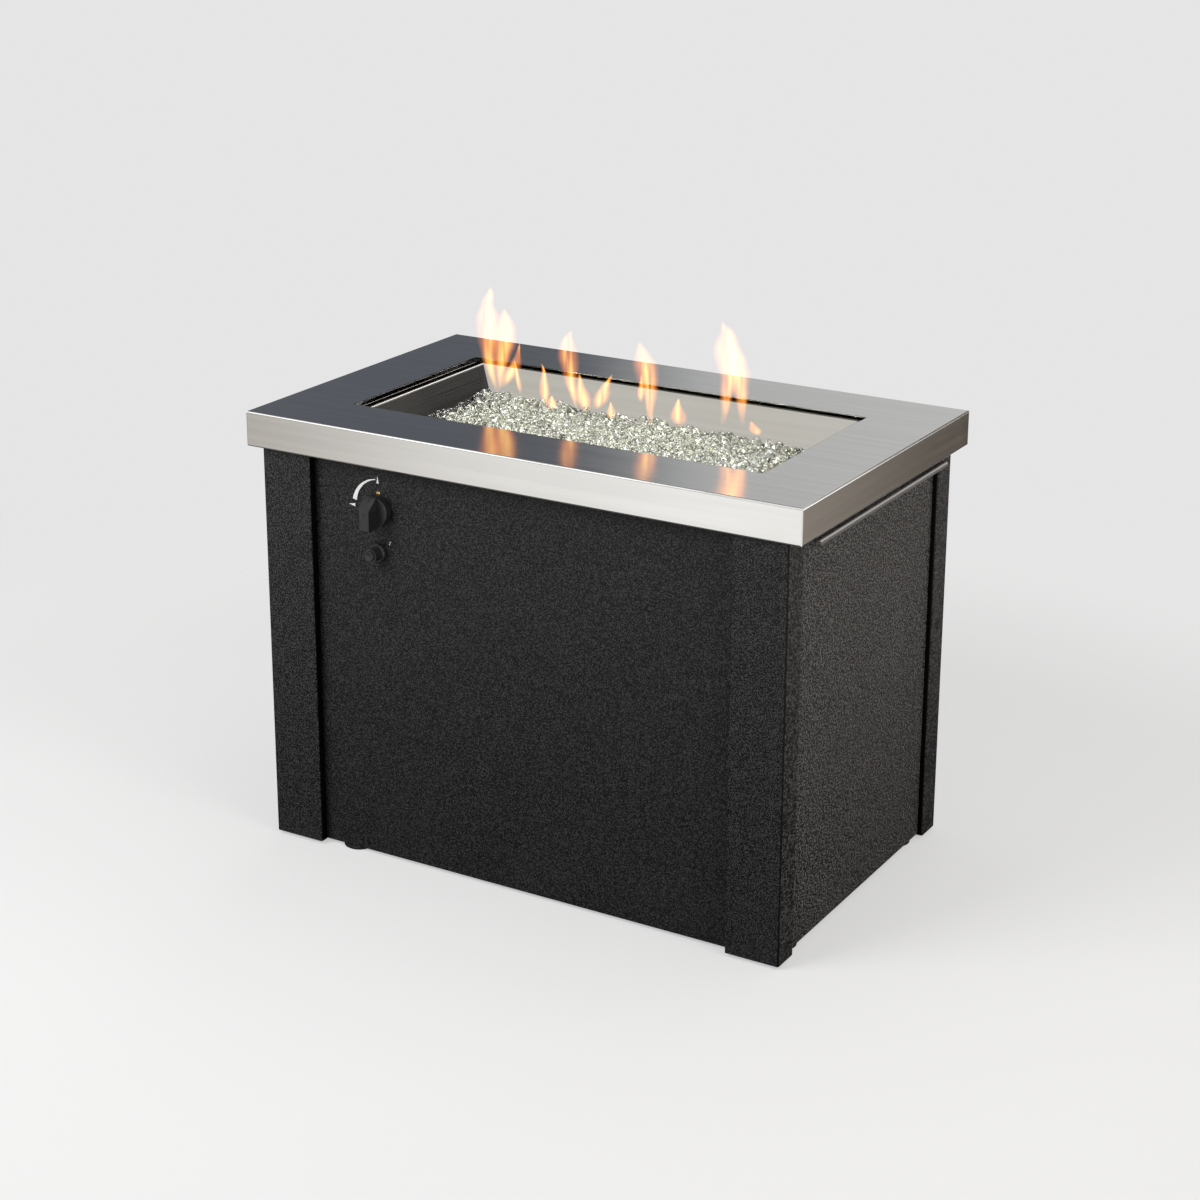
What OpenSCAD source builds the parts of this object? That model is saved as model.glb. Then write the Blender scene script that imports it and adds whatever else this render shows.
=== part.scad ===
// Rectangular gas fire pit table: a folded stainless top over a black sheet-steel cabinet,
// with a burner pan of glass nuggets, a pull-off side door and controls on the front.
// Floor at z = 0, controls on the -Y side, door on the +X side.

/* [Table top] */
// Width of the top
top_w = 820; // [760:5:900]
// Depth of the top
top_d = 500; // [470:5:560]
// Height of the apron round the top
apron_h = 48; // [42:1:54]
// Sheet thickness of the top
top_sheet = 1.5; // [1:0.1:2]
// Outside radius of the folded edges of the top
edge_r = 2.5; // [2.2:0.1:4]
// Radius of the ground upright corners of the apron
corner_r = 2; // [1:0.25:2.5]
// Width of the border between the outer edge and the burner opening
border = 102; // [92:1:112]

/* [Cabinet] */
// Height from the floor to the top surface
table_h = 610; // [560:1:660]
// Sheet thickness of the cabinet
sheet = 1.5; // [1.2:0.1:2]
// Overhang of the top past the sides of the cabinet
side_overhang = 20; // [15:1:28]
// Overhang of the top past the front and back of the cabinet
front_overhang = 8; // [5:1:16]
// Width of a leg seen from the front
leg_front = 76; // [64:1:90]
// Width of a leg seen from the side
leg_side = 41; // [36:1:52]
// Depth of the front and back panels behind the legs
front_recess = 14; // [10:0.5:18]
// Depth of the left panel and the door behind the legs
side_recess = 7; // [6:0.5:10]
// Width of the tab behind a leg that a panel is riveted to
tab_w = 15; // [12:1:20]
// Width of the flat flange of the upper rails
rail_w = 40; // [34:1:46]
// Height of the upright flange of the upper rails
rail_h = 30; // [22:1:36]
// Number of vent slots in each row of the back panel
vent_count = 9; // [5:1:11]
// Length of a vent slot
vent_len = 46; // [30:1:60]
// Width of a vent slot
vent_w = 6; // [4:0.5:8]

/* [Base] */
// Gap between the legs and the floor, taken up by the feet
foot_gap = 5; // [4:0.5:10]
// Diameter of a foot
foot_d = 44; // [34:1:50]
// Distance of the left feet from the left side of the cabinet
foot_left_inset = 119; // [90:1:150]
// Distance of the right feet from the front and back of the cabinet
foot_right_inset = 66; // [64:1:90]
// Diameter of a foot's stud
stud_d = 8; // [6:1:10]
// Width of the flat flange of the sills
sill_w = 45; // [40:1:54]
// Height of the upright flange of the sills
sill_h = 30; // [24:1:40]
// Bore of the collar that holds a gas cylinder's foot ring
tank_ring_d = 213; // [205:1:225]
// Height of the collar
tank_ring_h = 14; // [10:1:20]
// Distance of the collar's centre to the right of the middle of the table
tank_x = 150; // [140:1:170]

/* [Door] */
// Gap between the door and the leg at each side
door_gap = 1.5; // [1:0.25:3]
// Depth of the door's folded edges
door_return = 8; // [6:0.5:9]
// Reach of the finger lip in front of the door
lip_reach = 24; // [20:1:28]
// Height of the lip's turned-down edge
lip_edge = 5.5; // [4.5:0.5:9]
// Gap between the lip and the apron
lip_gap = 9; // [7:0.5:14]
// Distance of the lip's ends from the door's edges
lip_inset = 9; // [5:0.5:20]
// Diameter of the door's locating pins
pin_d = 8; // [6:0.5:10]
// Spacing of the locating pins
pin_spacing = 300; // [240:5:320]
// Height of the locating pins above the floor
pin_z = 24; // [20:1:26]
// Spacing of the door magnets
magnet_spacing = 240; // [160:5:280]

/* [Burner] */
// Depth of the pan's rim below the top surface
rim_drop = 4.5; // [3.5:0.25:8]
// Gap between the pan's outer lip and the opening at the front and the back
rim_gap = 3; // [2:0.5:6]
// Gap between the lip and the opening at each end, with the pan in the middle
end_gap = 0.5; // [0:0.5:4]
// Distance of the pan to the right of the middle of the opening
pan_x = 5; // [0:0.5:6]
// Width of the gutter along the ends of the pan
gutter_x = 10; // [6:0.5:14]
// Width of the gutter along the front and the back of the pan
gutter_y = 3; // [2.5:0.5:6]
// Width of the pan's rolled rim
rim_lip = 4; // [3.5:0.5:7]
// Depth of the pan
pan_depth = 66; // [62:1:70]
// How far each wall of the pan slopes in and down before it drops straight to the floor
pan_slope = 44; // [40:1:46]
// Sheet thickness of the pan
pan_sheet = 1.2; // [1:0.1:1.5]
// Diameter of the burner tube
tube_d = 19; // [16:0.5:22]
// Wall of the burner tube
tube_wall = 1.5; // [1:0.1:2]
// Length of the middle tube
tube_len = 440; // [380:5:480]
// Gap between the ends of the cross tubes and the walls of the pan's well
cross_gap = 14; // [8:1:30]
// Distance of the gas inlet to the left of the middle of the pan
inlet_x = 150; // [142:1:170]
// Spacing of the gas ports
port_pitch = 20; // [16:1:30]
// Diameter of a gas port
port_d = 2.6; // [2:0.2:3.6]
// Distance of the pan's straps from the middle
strap_x = 75; // [60:1:76]
// Width of a strap
strap_w = 36; // [30:1:38]

/* [Fire glass] */
// Depth of the glass over the burner tube
glass_cover = 3; // [2:0.5:8]
// Rise of the glass heap in the middle
glass_crown = 4; // [0:1:8]
// Size of a nugget
nugget_d = 20; // [18:1:24]

/* [Controls] */
// Distance of the knob and igniter from the left side of the cabinet
control_x = 176; // [165:1:190]
// Depth of the knob's axis below the top surface
knob_drop = 111; // [106:1:114]
// Depth of the igniter's axis below the top surface
igniter_drop = 169; // [167:1:185]
// Diameter of the knob's skirt
knob_d = 44; // [40:1:46]
// Depth of the knob's skirt
skirt_h = 11; // [8:0.5:14]
// Depth of the whole knob
knob_h = 30; // [26:0.5:32]
// Width of the knob's bar grip
bar_w = 15; // [10:0.5:18]
// Gap between the knob and the panel
knob_gap = 2.5; // [2.25:0.25:4]
// Diameter of the valve stem
stem_d = 8; // [6:0.5:9]
// Distance of the valve's screws from its axis
valve_screw_r = 22.5; // [21:0.25:23.5]
// Diameter of the igniter's barrel
barrel_d = 19; // [17:0.5:21]
// Reach of the barrel in front of the panel
barrel_reach = 21; // [16:0.5:22]
// Diameter of the igniter's button
button_d = 14; // [11:0.5:14.5]
// Reach of the button in front of the barrel
button_reach = 3; // [2:0.5:4]
// Travel of the button
button_travel = 5; // [3:0.5:6]

/* [Clearances] */
// Radial clearance of the turning stem and the sliding button
running_fit = 0.08; // [0.05:0.01:0.1]
// Radial clearance of the door's pins
pin_fit = 0.1; // [0.05:0.01:0.1]
// Radial clearance of screws and rivets in their holes
screw_fit = 0.15; // [0.1:0.05:0.3]
// Gap between faces that only lie against each other
seat_gap = 0.3; // [0.2:0.05:0.5]

/* [Hidden] */
$fn = 32;

black_coat = "#2c2c2e";
bright_steel = "#b9b9b6";
zinc = "#9a9ca0";
brass = "#b8924a";
black_plastic = "#1c1c1d";

// Outer planes of the top and the cabinet, as distances from the middle
apron_z = table_h - apron_h;
leg_h = apron_z - foot_gap;
cab_x = top_w / 2 - side_overhang;
cab_y = top_d / 2 - front_overhang;
panel_x = cab_x - side_recess;
panel_y = cab_y - front_recess;
panel_back_x = panel_x - sheet;
panel_back_y = panel_y - sheet;
leg_inner_x = cab_x - leg_front;
leg_inner_y = cab_y - leg_side;
half_sheet = sheet / 2;
bend_r = 1.5;

// Rails and the flange under the apron that lies on them
rail_lap = 34;
right_rail_gap = 15;
under_flange = max(top_w / 2 - panel_back_x, top_d / 2 - panel_back_y) + rail_lap;
rail_end = 2.5;
rail_half_x = panel_back_x - rail_end;
rail_half_y = panel_back_y - rail_w;
right_rail_x = panel_back_x - right_rail_gap;

// Sills, shelf and feet
sill_lift = 3;
sill_gap = 1;
jamb_spare = 9;
jamb_gap = 2;
sill_z = foot_gap + sill_lift;
sill_right_x = panel_x - door_return - sill_gap;
sill_half_y = panel_back_y - sill_w;
jamb_depth = side_recess + door_return + jamb_spare;
frame_right = cab_x - jamb_depth - jamb_gap;
shelf_lap = 14;
shelf_z = sill_z + sheet;
shelf_half_y = sill_half_y + shelf_lap;
shelf_left = -(panel_back_x - sill_w + shelf_lap);
shelf_right = sill_right_x - sill_w + shelf_lap;
tank_ring_wall = 3;
foot_left_x = -(cab_x - foot_left_inset);
foot_left_y = (shelf_half_y + panel_back_y) / 2;
foot_right_x = (shelf_right + sill_right_x) / 2;
foot_right_y = cab_y - foot_right_inset;
nut_h = 6;
stud_tail = 3;
pad_gap = 0.5;
pad_edge = 2;

// Door
door_half = leg_inner_y - door_gap;
door_lift = 1;
door_z = foot_gap + door_lift;
lip_z = apron_z - lip_gap;
magnet_h = 14;
magnet_len = 34;
magnet_rise = 4;
magnet_plate = 2;

// Burner
rim_z = table_h - rim_drop;
lip_half_x = top_w / 2 - border - end_gap;
lip_half_y = top_d / 2 - border - rim_gap;
rim_half_x = lip_half_x - gutter_x;
rim_half_y = lip_half_y - gutter_y;
gutter_h = 7;
well_z = rim_z - pan_slope;
pan_bottom = rim_z - pan_depth;
pan_floor = pan_bottom + pan_sheet;
floor_half_x = rim_half_x - rim_lip - pan_slope;
floor_half_y = rim_half_y - rim_lip - pan_slope;
tube_r = tube_d / 2;
tube_lift = 2.5;
tube_z = pan_floor + tube_lift + tube_r;
cross_x = tube_len / 2 - tube_d;
cross_len = 2 * (floor_half_y - cross_gap);
stub_drop = 7;
jet_drop = 30;
jet_r = 8;
jet_nut_h = 9;
jet_nut_wall = 4;
jet_bore_r = 1.2;
strap_t = 2;
strap_end = 4;
electrode_side = 40;
electrode_x = -inlet_x + electrode_side;
electrode_y = -30;
electrode_r = 4;
electrode_drop = 18;
sleeve_rise = 10;
collar_lap = 3;
collar_h = 6;
wire_r = 1.2;

// Fire glass
glass_top = tube_z + tube_r + glass_cover;
nugget_r = nugget_d / 2;

// Controls
knob_x = -(cab_x - control_x);
knob_z = table_h - knob_drop;
igniter_z = table_h - igniter_drop;
knob_back = -panel_y - knob_gap;
stem_r = stem_d / 2;
stem_hole_gap = 3;
valve_plate = 3;
valve_r = 14;
valve_len = 38;
valve_front = -panel_back_y + valve_plate;
valve_back = valve_front + valve_len;
outlet_y = valve_front + valve_len / 2;
outlet_drop = 20;
outlet_wall = 3;
stem_depth = 16;
valve_screw_d = 4;
inlet_r = 7.9;
inlet_len = 14;
inlet_hex = 5;
inlet_hex_lap = 3;
inlet_bore_r = 3.5;
feed_r = 5;
feed_bend = 14;
feed_fall = 38;
feed_z = knob_z - feed_fall;
barrel_r = barrel_d / 2;
barrel_front = -panel_y - barrel_reach;
barrel_depth = 54;
barrel_back = -panel_back_y + barrel_depth;
barrel_flange = 3;
flange_lap = 4;
plunger_len = 26;
lead_r = 2.5;
lead_bend = 12;
lead_reach = 25;

// Fasteners
screw_d = 5;
screw_head_d = 10;
screw_head_h = 3;
screw_tail = 7;
rivet_d = 4;
rivet_head_d = 8;
rivet_head_h = 1.4;
rivet_rows = 4;
rivet_margin = 60;
rivet_shift = 0.5;
rivet_u = leg_front - tab_w / 2 - rivet_shift;
rivet_v = leg_side - tab_w / 2 - rivet_shift;
top_screw_x = 250;
top_screw_y = 110;
fix_y = panel_back_y - rail_w / 2;
fix_x = panel_back_x - rail_w / 2;
right_fix_inset = 10;
right_fix_x = right_rail_x - right_fix_inset;

// Folded sheet: a strip of thickness t along the middle line path, with bends of radius r
function unit(v) = v / norm(v);
function left_of(v) = [-v[1], v[0]];
function turned(v, a) = [v[0] * cos(a) - v[1] * sin(a), v[0] * sin(a) + v[1] * cos(a)];

function bend_at(path, i, r, steps) =
    let (
        a = unit(path[i] - path[i - 1]),
        b = unit(path[i + 1] - path[i]),
        side = sign(cross(a, b)),
        angle = acos(a * b),
        centre = path[i] - a * r * tan(angle / 2) + left_of(a) * r * side
    )
    [for (k = [0 : steps])
        let (n = turned(left_of(a), side * angle * k / steps))
        [centre - n * r * side, n]];

function spine(path, r, steps) =
    let (last = len(path) - 1)
    concat(
        [[path[0], left_of(unit(path[1] - path[0]))]],
        [for (i = [1 : last - 1]) each bend_at(path, i, r, steps)],
        [[path[last], left_of(unit(path[last] - path[last - 1]))]]
    );

module fold(path, t, r, steps = 4) {
    s = spine(path, r, steps);
    polygon(concat(
        [for (p = s) p[0] + p[1] * t / 2],
        [for (i = [len(s) - 1 : -1 : 0]) s[i][0] - s[i][1] * t / 2]
    ));
}

// A profile run round a rectangle with mitred corners: its x is the distance outside the
// rectangle, its y is the height, and no part of it lies further than span from the line
module mitred(half_x, half_y, span) {
    for (k = [0 : 3]) {
        along = k % 2 == 0 ? half_x : half_y;
        out = k % 2 == 0 ? half_y : half_x;
        rotate([0, 0, 90 * k])
            intersection() {
                translate([-along - span, out, 0])
                    rotate([90, 0, 90])
                        linear_extrude(2 * (along + span)) children();
                linear_extrude(table_h + 1)
                    polygon([
                        [span - along, out - span],
                        [along - span, out - span],
                        [along + span, out + span],
                        [-along - span, out + span]
                    ]);
            }
    }
}

// Lays a profile out along X, with the profile's x along Y and its y along Z
module along_x(from, to) {
    translate([from, 0, 0]) rotate([90, 0, 90]) linear_extrude(to - from) children();
}

// Lays a profile out along Y, with the profile's x along X and its y along Z
module along_y(from, to) {
    translate([0, to, 0]) rotate([90, 0, 0]) linear_extrude(to - from) children();
}

// A round bar along a chosen axis
module bar_x(r, from, to) {
    translate([from, 0, 0]) rotate([0, 90, 0]) cylinder(r = r, h = to - from);
}

module bar_y(r, from, to) {
    translate([0, to, 0]) rotate([90, 0, 0]) cylinder(r = r, h = to - from);
}

module bar_z(r, from, to) {
    translate([0, 0, from]) cylinder(r = r, h = to - from);
}

// A round tube along straight runs square to each other, with an elbow at each corner
module tube_run(points, r, bend) {
    last = len(points) - 1;
    for (i = [0 : last - 1]) {
        d = unit(points[i + 1] - points[i]);
        start = points[i] + (i == 0 ? 0 : bend) * d;
        run = norm(points[i + 1] - points[i]) - (i == 0 ? 0 : bend) - (i == last - 1 ? 0 : bend);
        side = abs(d[2]) > 0.5 ? [1, 0, 0] : [0, 0, 1];
        up = cross(d, side);
        multmatrix([
            [side[0], up[0], d[0], start[0]],
            [side[1], up[1], d[1], start[1]],
            [side[2], up[2], d[2], start[2]]
        ]) cylinder(r = r, h = run);
    }
    for (i = [1 : last - 1]) {
        a = unit(points[i] - points[i - 1]);
        b = unit(points[i + 1] - points[i]);
        centre = points[i] - a * bend + b * bend;
        n = cross(-b, a);
        multmatrix([
            [-b[0], a[0], n[0], centre[0]],
            [-b[1], a[1], n[1], centre[1]],
            [-b[2], a[2], n[2], centre[2]]
        ]) rotate_extrude(angle = 90) translate([bend, 0]) circle(r = r);
    }
}

// Table top: one folded sheet with an apron, a flange under it and a plain ground edge at the opening
module table_top() {
    h = top_sheet / 2;
    color(bright_steel)
        difference() {
            mitred(top_w / 2, top_d / 2, border + 1)
                fold([
                    [-under_flange, apron_z + h],
                    [-h, apron_z + h],
                    [-h, table_h - h],
                    [-border, table_h - h]
                ], top_sheet, edge_r - h);
            top_screw_holes();
            for (sx = [-1, 1], sy = [-1, 1]) corner_cut(sx, sy);
        }
}

// What is ground off an upright corner of the apron
module corner_cut(sx, sy) {
    low = apron_z - 1;
    tall = apron_h + 2;
    translate([sx * (top_w / 2 - corner_r), sy * (top_d / 2 - corner_r), low])
        difference() {
            translate([sx > 0 ? 0 : -2 * corner_r, sy > 0 ? 0 : -2 * corner_r, 0])
                cube([2 * corner_r, 2 * corner_r, tall]);
            translate([0, 0, -1]) cylinder(r = corner_r, h = tall + 2);
        }
}

module top_screw_places() {
    for (sx = [-1, 1], sy = [-1, 1]) translate([sx * top_screw_x, sy * fix_y, 0]) children();
    for (sy = [-1, 1]) translate([-fix_x, sy * top_screw_y, 0]) children();
    for (sy = [-1, 1]) translate([right_fix_x, sy * top_screw_y, 0]) children();
}

module strap_screw_places() {
    for (sx = [-1, 1], sy = [-1, 1]) translate([sx * strap_x, sy * fix_y, 0]) children();
}

module top_screw_holes() {
    r = screw_d / 2 + screw_fit;
    low = apron_z - sheet - strap_t - 1;
    high = apron_z + top_sheet + 1;
    top_screw_places() bar_z(r, low, high);
    strap_screw_places() bar_z(r, low, high);
}

module screw_under(z) {
    bar_z(screw_head_d / 2, z - screw_head_h, z);
    bar_z(screw_d / 2, z, apron_z + top_sheet + screw_tail);
}

module top_screws() {
    color(zinc) top_screw_places() screw_under(apron_z - sheet);
}

module strap_screws() {
    color(zinc) strap_screw_places() screw_under(apron_z - sheet - strap_t);
}

// Legs: folded corner posts, with a tab behind each fixed panel and a jamb beside the door
module leg_outline(jamb) {
    h = half_sheet;
    side = jamb
        ? [[jamb_depth, leg_side - h]]
        : [[side_recess - h, leg_side - tab_w], [side_recess - h, leg_side - h]];
    fold(concat(side, [
        [h, leg_side - h],
        [h, h],
        [leg_front - h, h],
        [leg_front - h, front_recess - h],
        [leg_front - tab_w, front_recess - h]
    ]), sheet, bend_r);
}

// Corner of the cabinet on the side sx and end sy, with x and y running inwards from it
module at_corner(sx, sy) {
    translate([sx * cab_x, sy * cab_y, 0])
        mirror([sx > 0 ? 1 : 0, 0, 0])
            mirror([0, sy > 0 ? 1 : 0, 0]) children();
}

rivet_pitch = (leg_h - 2 * rivet_margin) / (rivet_rows - 1);
rivet_heights = [for (i = [0 : rivet_rows - 1]) foot_gap + rivet_margin + i * rivet_pitch];

module front_rivet_axes(r, from, to) {
    for (z = rivet_heights) translate([rivet_u, 0, z]) bar_y(r, from, to);
}

module side_rivet_axes(r, from, to) {
    for (z = rivet_heights) translate([0, rivet_v, z]) bar_x(r, from, to);
}

module rivet_holes(side_too) {
    r = rivet_d / 2 + screw_fit;
    front_rivet_axes(r, front_recess - 2 * sheet, front_recess + 2 * sheet);
    if (side_too) side_rivet_axes(r, side_recess - 2 * sheet, side_recess + 2 * sheet);
}

module panel_rivets() {
    r = rivet_d / 2;
    head_r = rivet_head_d / 2;
    front_a = front_recess - sheet;
    front_b = front_recess + sheet;
    side_a = side_recess - sheet;
    side_b = side_recess + sheet;
    color(black_coat)
        for (sx = [-1, 1], sy = [-1, 1])
            at_corner(sx, sy) {
                front_rivet_axes(r, front_a, front_b);
                front_rivet_axes(head_r, front_a - rivet_head_h, front_a);
                front_rivet_axes(head_r, front_b, front_b + rivet_head_h);
                if (sx < 0) {
                    side_rivet_axes(r, side_a, side_b);
                    side_rivet_axes(head_r, side_a - rivet_head_h, side_a);
                    side_rivet_axes(head_r, side_b, side_b + rivet_head_h);
                }
            }
}

module leg(sx, sy) {
    color(black_coat)
        at_corner(sx, sy)
            difference() {
                translate([0, 0, foot_gap]) linear_extrude(leg_h) leg_outline(sx > 0);
                rivet_holes(sx < 0);
            }
}

module leg_front_left() { leg(-1, -1); }
module leg_front_right() { leg(1, -1); }
module leg_back_left() { leg(-1, 1); }
module leg_back_right() { leg(1, 1); }

// Panels: flat sheets behind the legs
panel_half_x = leg_inner_x + tab_w - 1;
panel_half_y = leg_inner_y + tab_w - 1;

module front_panel() {
    color(black_coat)
        difference() {
            translate([-panel_half_x, -panel_y, foot_gap]) cube([2 * panel_half_x, sheet, leg_h]);
            for (sx = [-1, 1]) at_corner(sx, -1) rivet_holes(false);
            translate([knob_x, 0, knob_z]) bar_y(stem_r + stem_hole_gap, -panel_y - 1, -panel_back_y + 1);
            valve_screw_axes(valve_screw_d / 2 + screw_fit, -panel_y - 1, -panel_back_y + 1);
            translate([knob_x, 0, igniter_z]) bar_y(barrel_r + seat_gap, -panel_y - 1, -panel_back_y + 1);
        }
}

vent_low_z = 95;
vent_pitch = 50;

module vent_slot() {
    straight = vent_len - vent_w;
    translate([-vent_w / 2, panel_back_y - 1, -straight / 2]) cube([vent_w, sheet + 2, straight]);
    for (s = [-1, 1])
        translate([0, 0, s * straight / 2]) bar_y(vent_w / 2, panel_back_y - 1, panel_y + 1);
}

module back_panel() {
    color(black_coat)
        difference() {
            translate([-panel_half_x, panel_back_y, foot_gap]) cube([2 * panel_half_x, sheet, leg_h]);
            for (sx = [-1, 1]) at_corner(sx, 1) rivet_holes(false);
            for (z = [vent_low_z, apron_z - rail_h - vent_len], i = [0 : vent_count - 1])
                translate([(i - (vent_count - 1) / 2) * vent_pitch, 0, z]) vent_slot();
        }
}

module left_panel() {
    color(black_coat)
        difference() {
            translate([-panel_x, -panel_half_y, foot_gap]) cube([sheet, 2 * panel_half_y, leg_h]);
            for (sy = [-1, 1]) at_corner(-1, sy) rivet_holes(true);
        }
}

// Upper rails: angles inside the panels that the top is screwed down on
module rail_outline(w, tall) {
    fold([[half_sheet, -tall], [half_sheet, -half_sheet], [w, -half_sheet]], sheet, bend_r);
}

module top_rail_y() {
    difference() {
        along_x(-rail_half_x, frame_right)
            translate([-panel_back_y, apron_z]) rail_outline(rail_w, rail_h);
        top_screw_holes();
    }
}

module top_rail_front() { color(black_coat) top_rail_y(); }
module top_rail_back() { color(black_coat) mirror([0, 1, 0]) top_rail_y(); }

module top_rail_left() {
    color(black_coat)
        difference() {
            along_y(-rail_half_y, rail_half_y)
                translate([-panel_back_x, apron_z]) rail_outline(rail_w, rail_h);
            top_screw_holes();
        }
}

module top_rail_right() {
    color(black_coat)
        difference() {
            along_y(-rail_half_y, rail_half_y)
                translate([right_rail_x, apron_z]) mirror([1, 0]) rail_outline(rail_w, rail_h);
            top_screw_holes();
        }
}

// Sills: angles round the foot of the cabinet that carry the shelf and the feet
module sill_outline(w, tall) {
    fold([[half_sheet, tall], [half_sheet, half_sheet], [w, half_sheet]], sheet, bend_r);
}

module foot_places() {
    for (sy = [-1, 1]) translate([foot_left_x, sy * foot_left_y, 0]) children();
    for (sy = [-1, 1]) translate([foot_right_x, sy * foot_right_y, 0]) children();
}

module stud_holes() {
    foot_places() bar_z(stud_d / 2 + screw_fit, sill_z - 1, sill_z + sheet + 1);
}

module sill_y() {
    difference() {
        along_x(-rail_half_x, frame_right)
            translate([-panel_back_y, sill_z]) sill_outline(sill_w, sill_h);
        stud_holes();
    }
}

module sill_front() { color(black_coat) sill_y(); }
module sill_back() { color(black_coat) mirror([0, 1, 0]) sill_y(); }

module sill_left() {
    color(black_coat)
        along_y(-sill_half_y, sill_half_y)
            translate([-panel_back_x, sill_z]) sill_outline(sill_w, sill_h);
}

module sill_right() {
    color(black_coat)
        difference() {
            along_y(-sill_half_y, sill_half_y)
                translate([sill_right_x, sill_z]) mirror([1, 0]) sill_outline(sill_w, sill_h);
            stud_holes();
            pin_axes(pin_d / 2 + pin_fit, sill_right_x - 2 * sheet, sill_right_x + 1);
        }
}

// Shelf and collar for the gas cylinder
shelf_vents = 4;
shelf_vent_len = 90;
shelf_vent_w = 8;
shelf_vent_pitch = 40;

module shelf_vent() {
    straight = shelf_vent_len - shelf_vent_w;
    translate([-straight / 2, -shelf_vent_w / 2, shelf_z - 1]) cube([straight, shelf_vent_w, sheet + 2]);
    for (s = [-1, 1])
        translate([s * straight / 2, 0, 0]) bar_z(shelf_vent_w / 2, shelf_z - 1, shelf_z + sheet + 1);
}

module tank_shelf() {
    color(black_coat)
        difference() {
            translate([shelf_left, -shelf_half_y, shelf_z])
                cube([shelf_right - shelf_left, 2 * shelf_half_y, sheet]);
            for (i = [0 : shelf_vents - 1])
                translate([tank_x, (i - (shelf_vents - 1) / 2) * shelf_vent_pitch, 0]) shelf_vent();
        }
}

module tank_collar() {
    bottom = shelf_z + sheet;
    color(black_coat)
        translate([tank_x, 0, bottom])
            rotate_extrude($fn = 96)
                translate([tank_ring_d / 2, 0]) square([tank_ring_wall, tank_ring_h]);
}

// Feet: round glides on studs, each held by a nut on its sill
module foot() {
    pad = foot_gap - pad_gap;
    color(black_plastic) {
        rotate_extrude($fn = 48)
            polygon([
                [0, 0],
                [foot_d / 2 - pad_edge, 0],
                [foot_d / 2, 0.3 * pad],
                [foot_d / 2, 0.65 * pad],
                [foot_d / 2 - 1.5 * pad_edge, pad],
                [0, pad]
            ]);
        bar_z(stud_d, pad - pad_gap, sill_z);
        bar_z(stud_d / 2, pad, sill_z + sheet + nut_h + stud_tail);
    }
}

module foot_front_left() { translate([foot_left_x, -foot_left_y, 0]) foot(); }
module foot_back_left() { translate([foot_left_x, foot_left_y, 0]) foot(); }
module foot_front_right() { translate([foot_right_x, -foot_right_y, 0]) foot(); }
module foot_back_right() { translate([foot_right_x, foot_right_y, 0]) foot(); }

module foot_nuts() {
    bottom = sill_z + sheet;
    color(zinc)
        foot_places()
            difference() {
                translate([0, 0, bottom]) cylinder(d = 1.85 * stud_d, h = nut_h, $fn = 6);
                bar_z(stud_d / 2 + screw_fit, bottom - 1, bottom + nut_h + 1);
            }
}

// Access door: a pull-off panel with a finger lip, held by pins below and magnets above
module pin_axes(r, from, to) {
    for (s = [-1, 1]) translate([0, s * pin_spacing / 2, pin_z]) bar_x(r, from, to);
}

module access_door() {
    h = half_sheet;
    lip_half = door_half - lip_inset;
    color(black_coat) {
        along_y(-lip_half, lip_half)
            fold([
                [panel_x + lip_reach - h, lip_z - lip_edge],
                [panel_x + lip_reach - h, lip_z - h],
                [panel_x - h, lip_z - h],
                [panel_x - h, lip_z - 4 * lip_edge]
            ], sheet, bend_r);
        along_y(-door_half, door_half)
            fold([
                [panel_x - h, lip_z - 2 * bend_r - sheet],
                [panel_x - h, door_z + h],
                [panel_x - door_return, door_z + h]
            ], sheet, bend_r);
        for (s = [-1, 1])
            translate([panel_x - door_return, s * (door_half - h) - h, door_z])
                cube([door_return - h, sheet, lip_z - 2 * bend_r - sheet - door_z]);
    }
}

pin_flange_h = 3;
pin_flange_lap = 3;
pin_nose = 8;

module door_pins() {
    back = panel_back_x;
    color(zinc) {
        pin_axes(pin_d / 2 + pin_flange_lap, back - pin_flange_h, back);
        pin_axes(pin_d / 2, sill_right_x - sheet - pin_nose, back - pin_flange_h);
    }
}

module door_magnets() {
    deep = panel_back_x - right_rail_x - seat_gap;
    low = apron_z - rail_h + magnet_rise;
    inset = magnet_plate;
    color(black_plastic)
        for (s = [-1, 1])
            translate([right_rail_x, s * magnet_spacing / 2 - magnet_len / 2, low]) {
                cube([deep - magnet_plate, magnet_len, magnet_h]);
                translate([deep - magnet_plate, inset, inset])
                    cube([magnet_plate, magnet_len - 2 * inset, magnet_h - 2 * inset]);
            }
}

// Gutter round the pan's rim, with an upright outer lip
module pan_gutter() {
    low = rim_z - gutter_h;
    t = pan_sheet;
    difference() {
        translate([-lip_half_x, -lip_half_y, low]) cube([2 * lip_half_x, 2 * lip_half_y, gutter_h]);
        translate([t - lip_half_x, t - lip_half_y, low + t])
            cube([2 * (lip_half_x - t), 2 * (lip_half_y - t), gutter_h]);
        translate([t - rim_half_x, t - rim_half_y, low - t])
            cube([2 * (rim_half_x - t), 2 * (rim_half_y - t), gutter_h]);
    }
}

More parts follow.
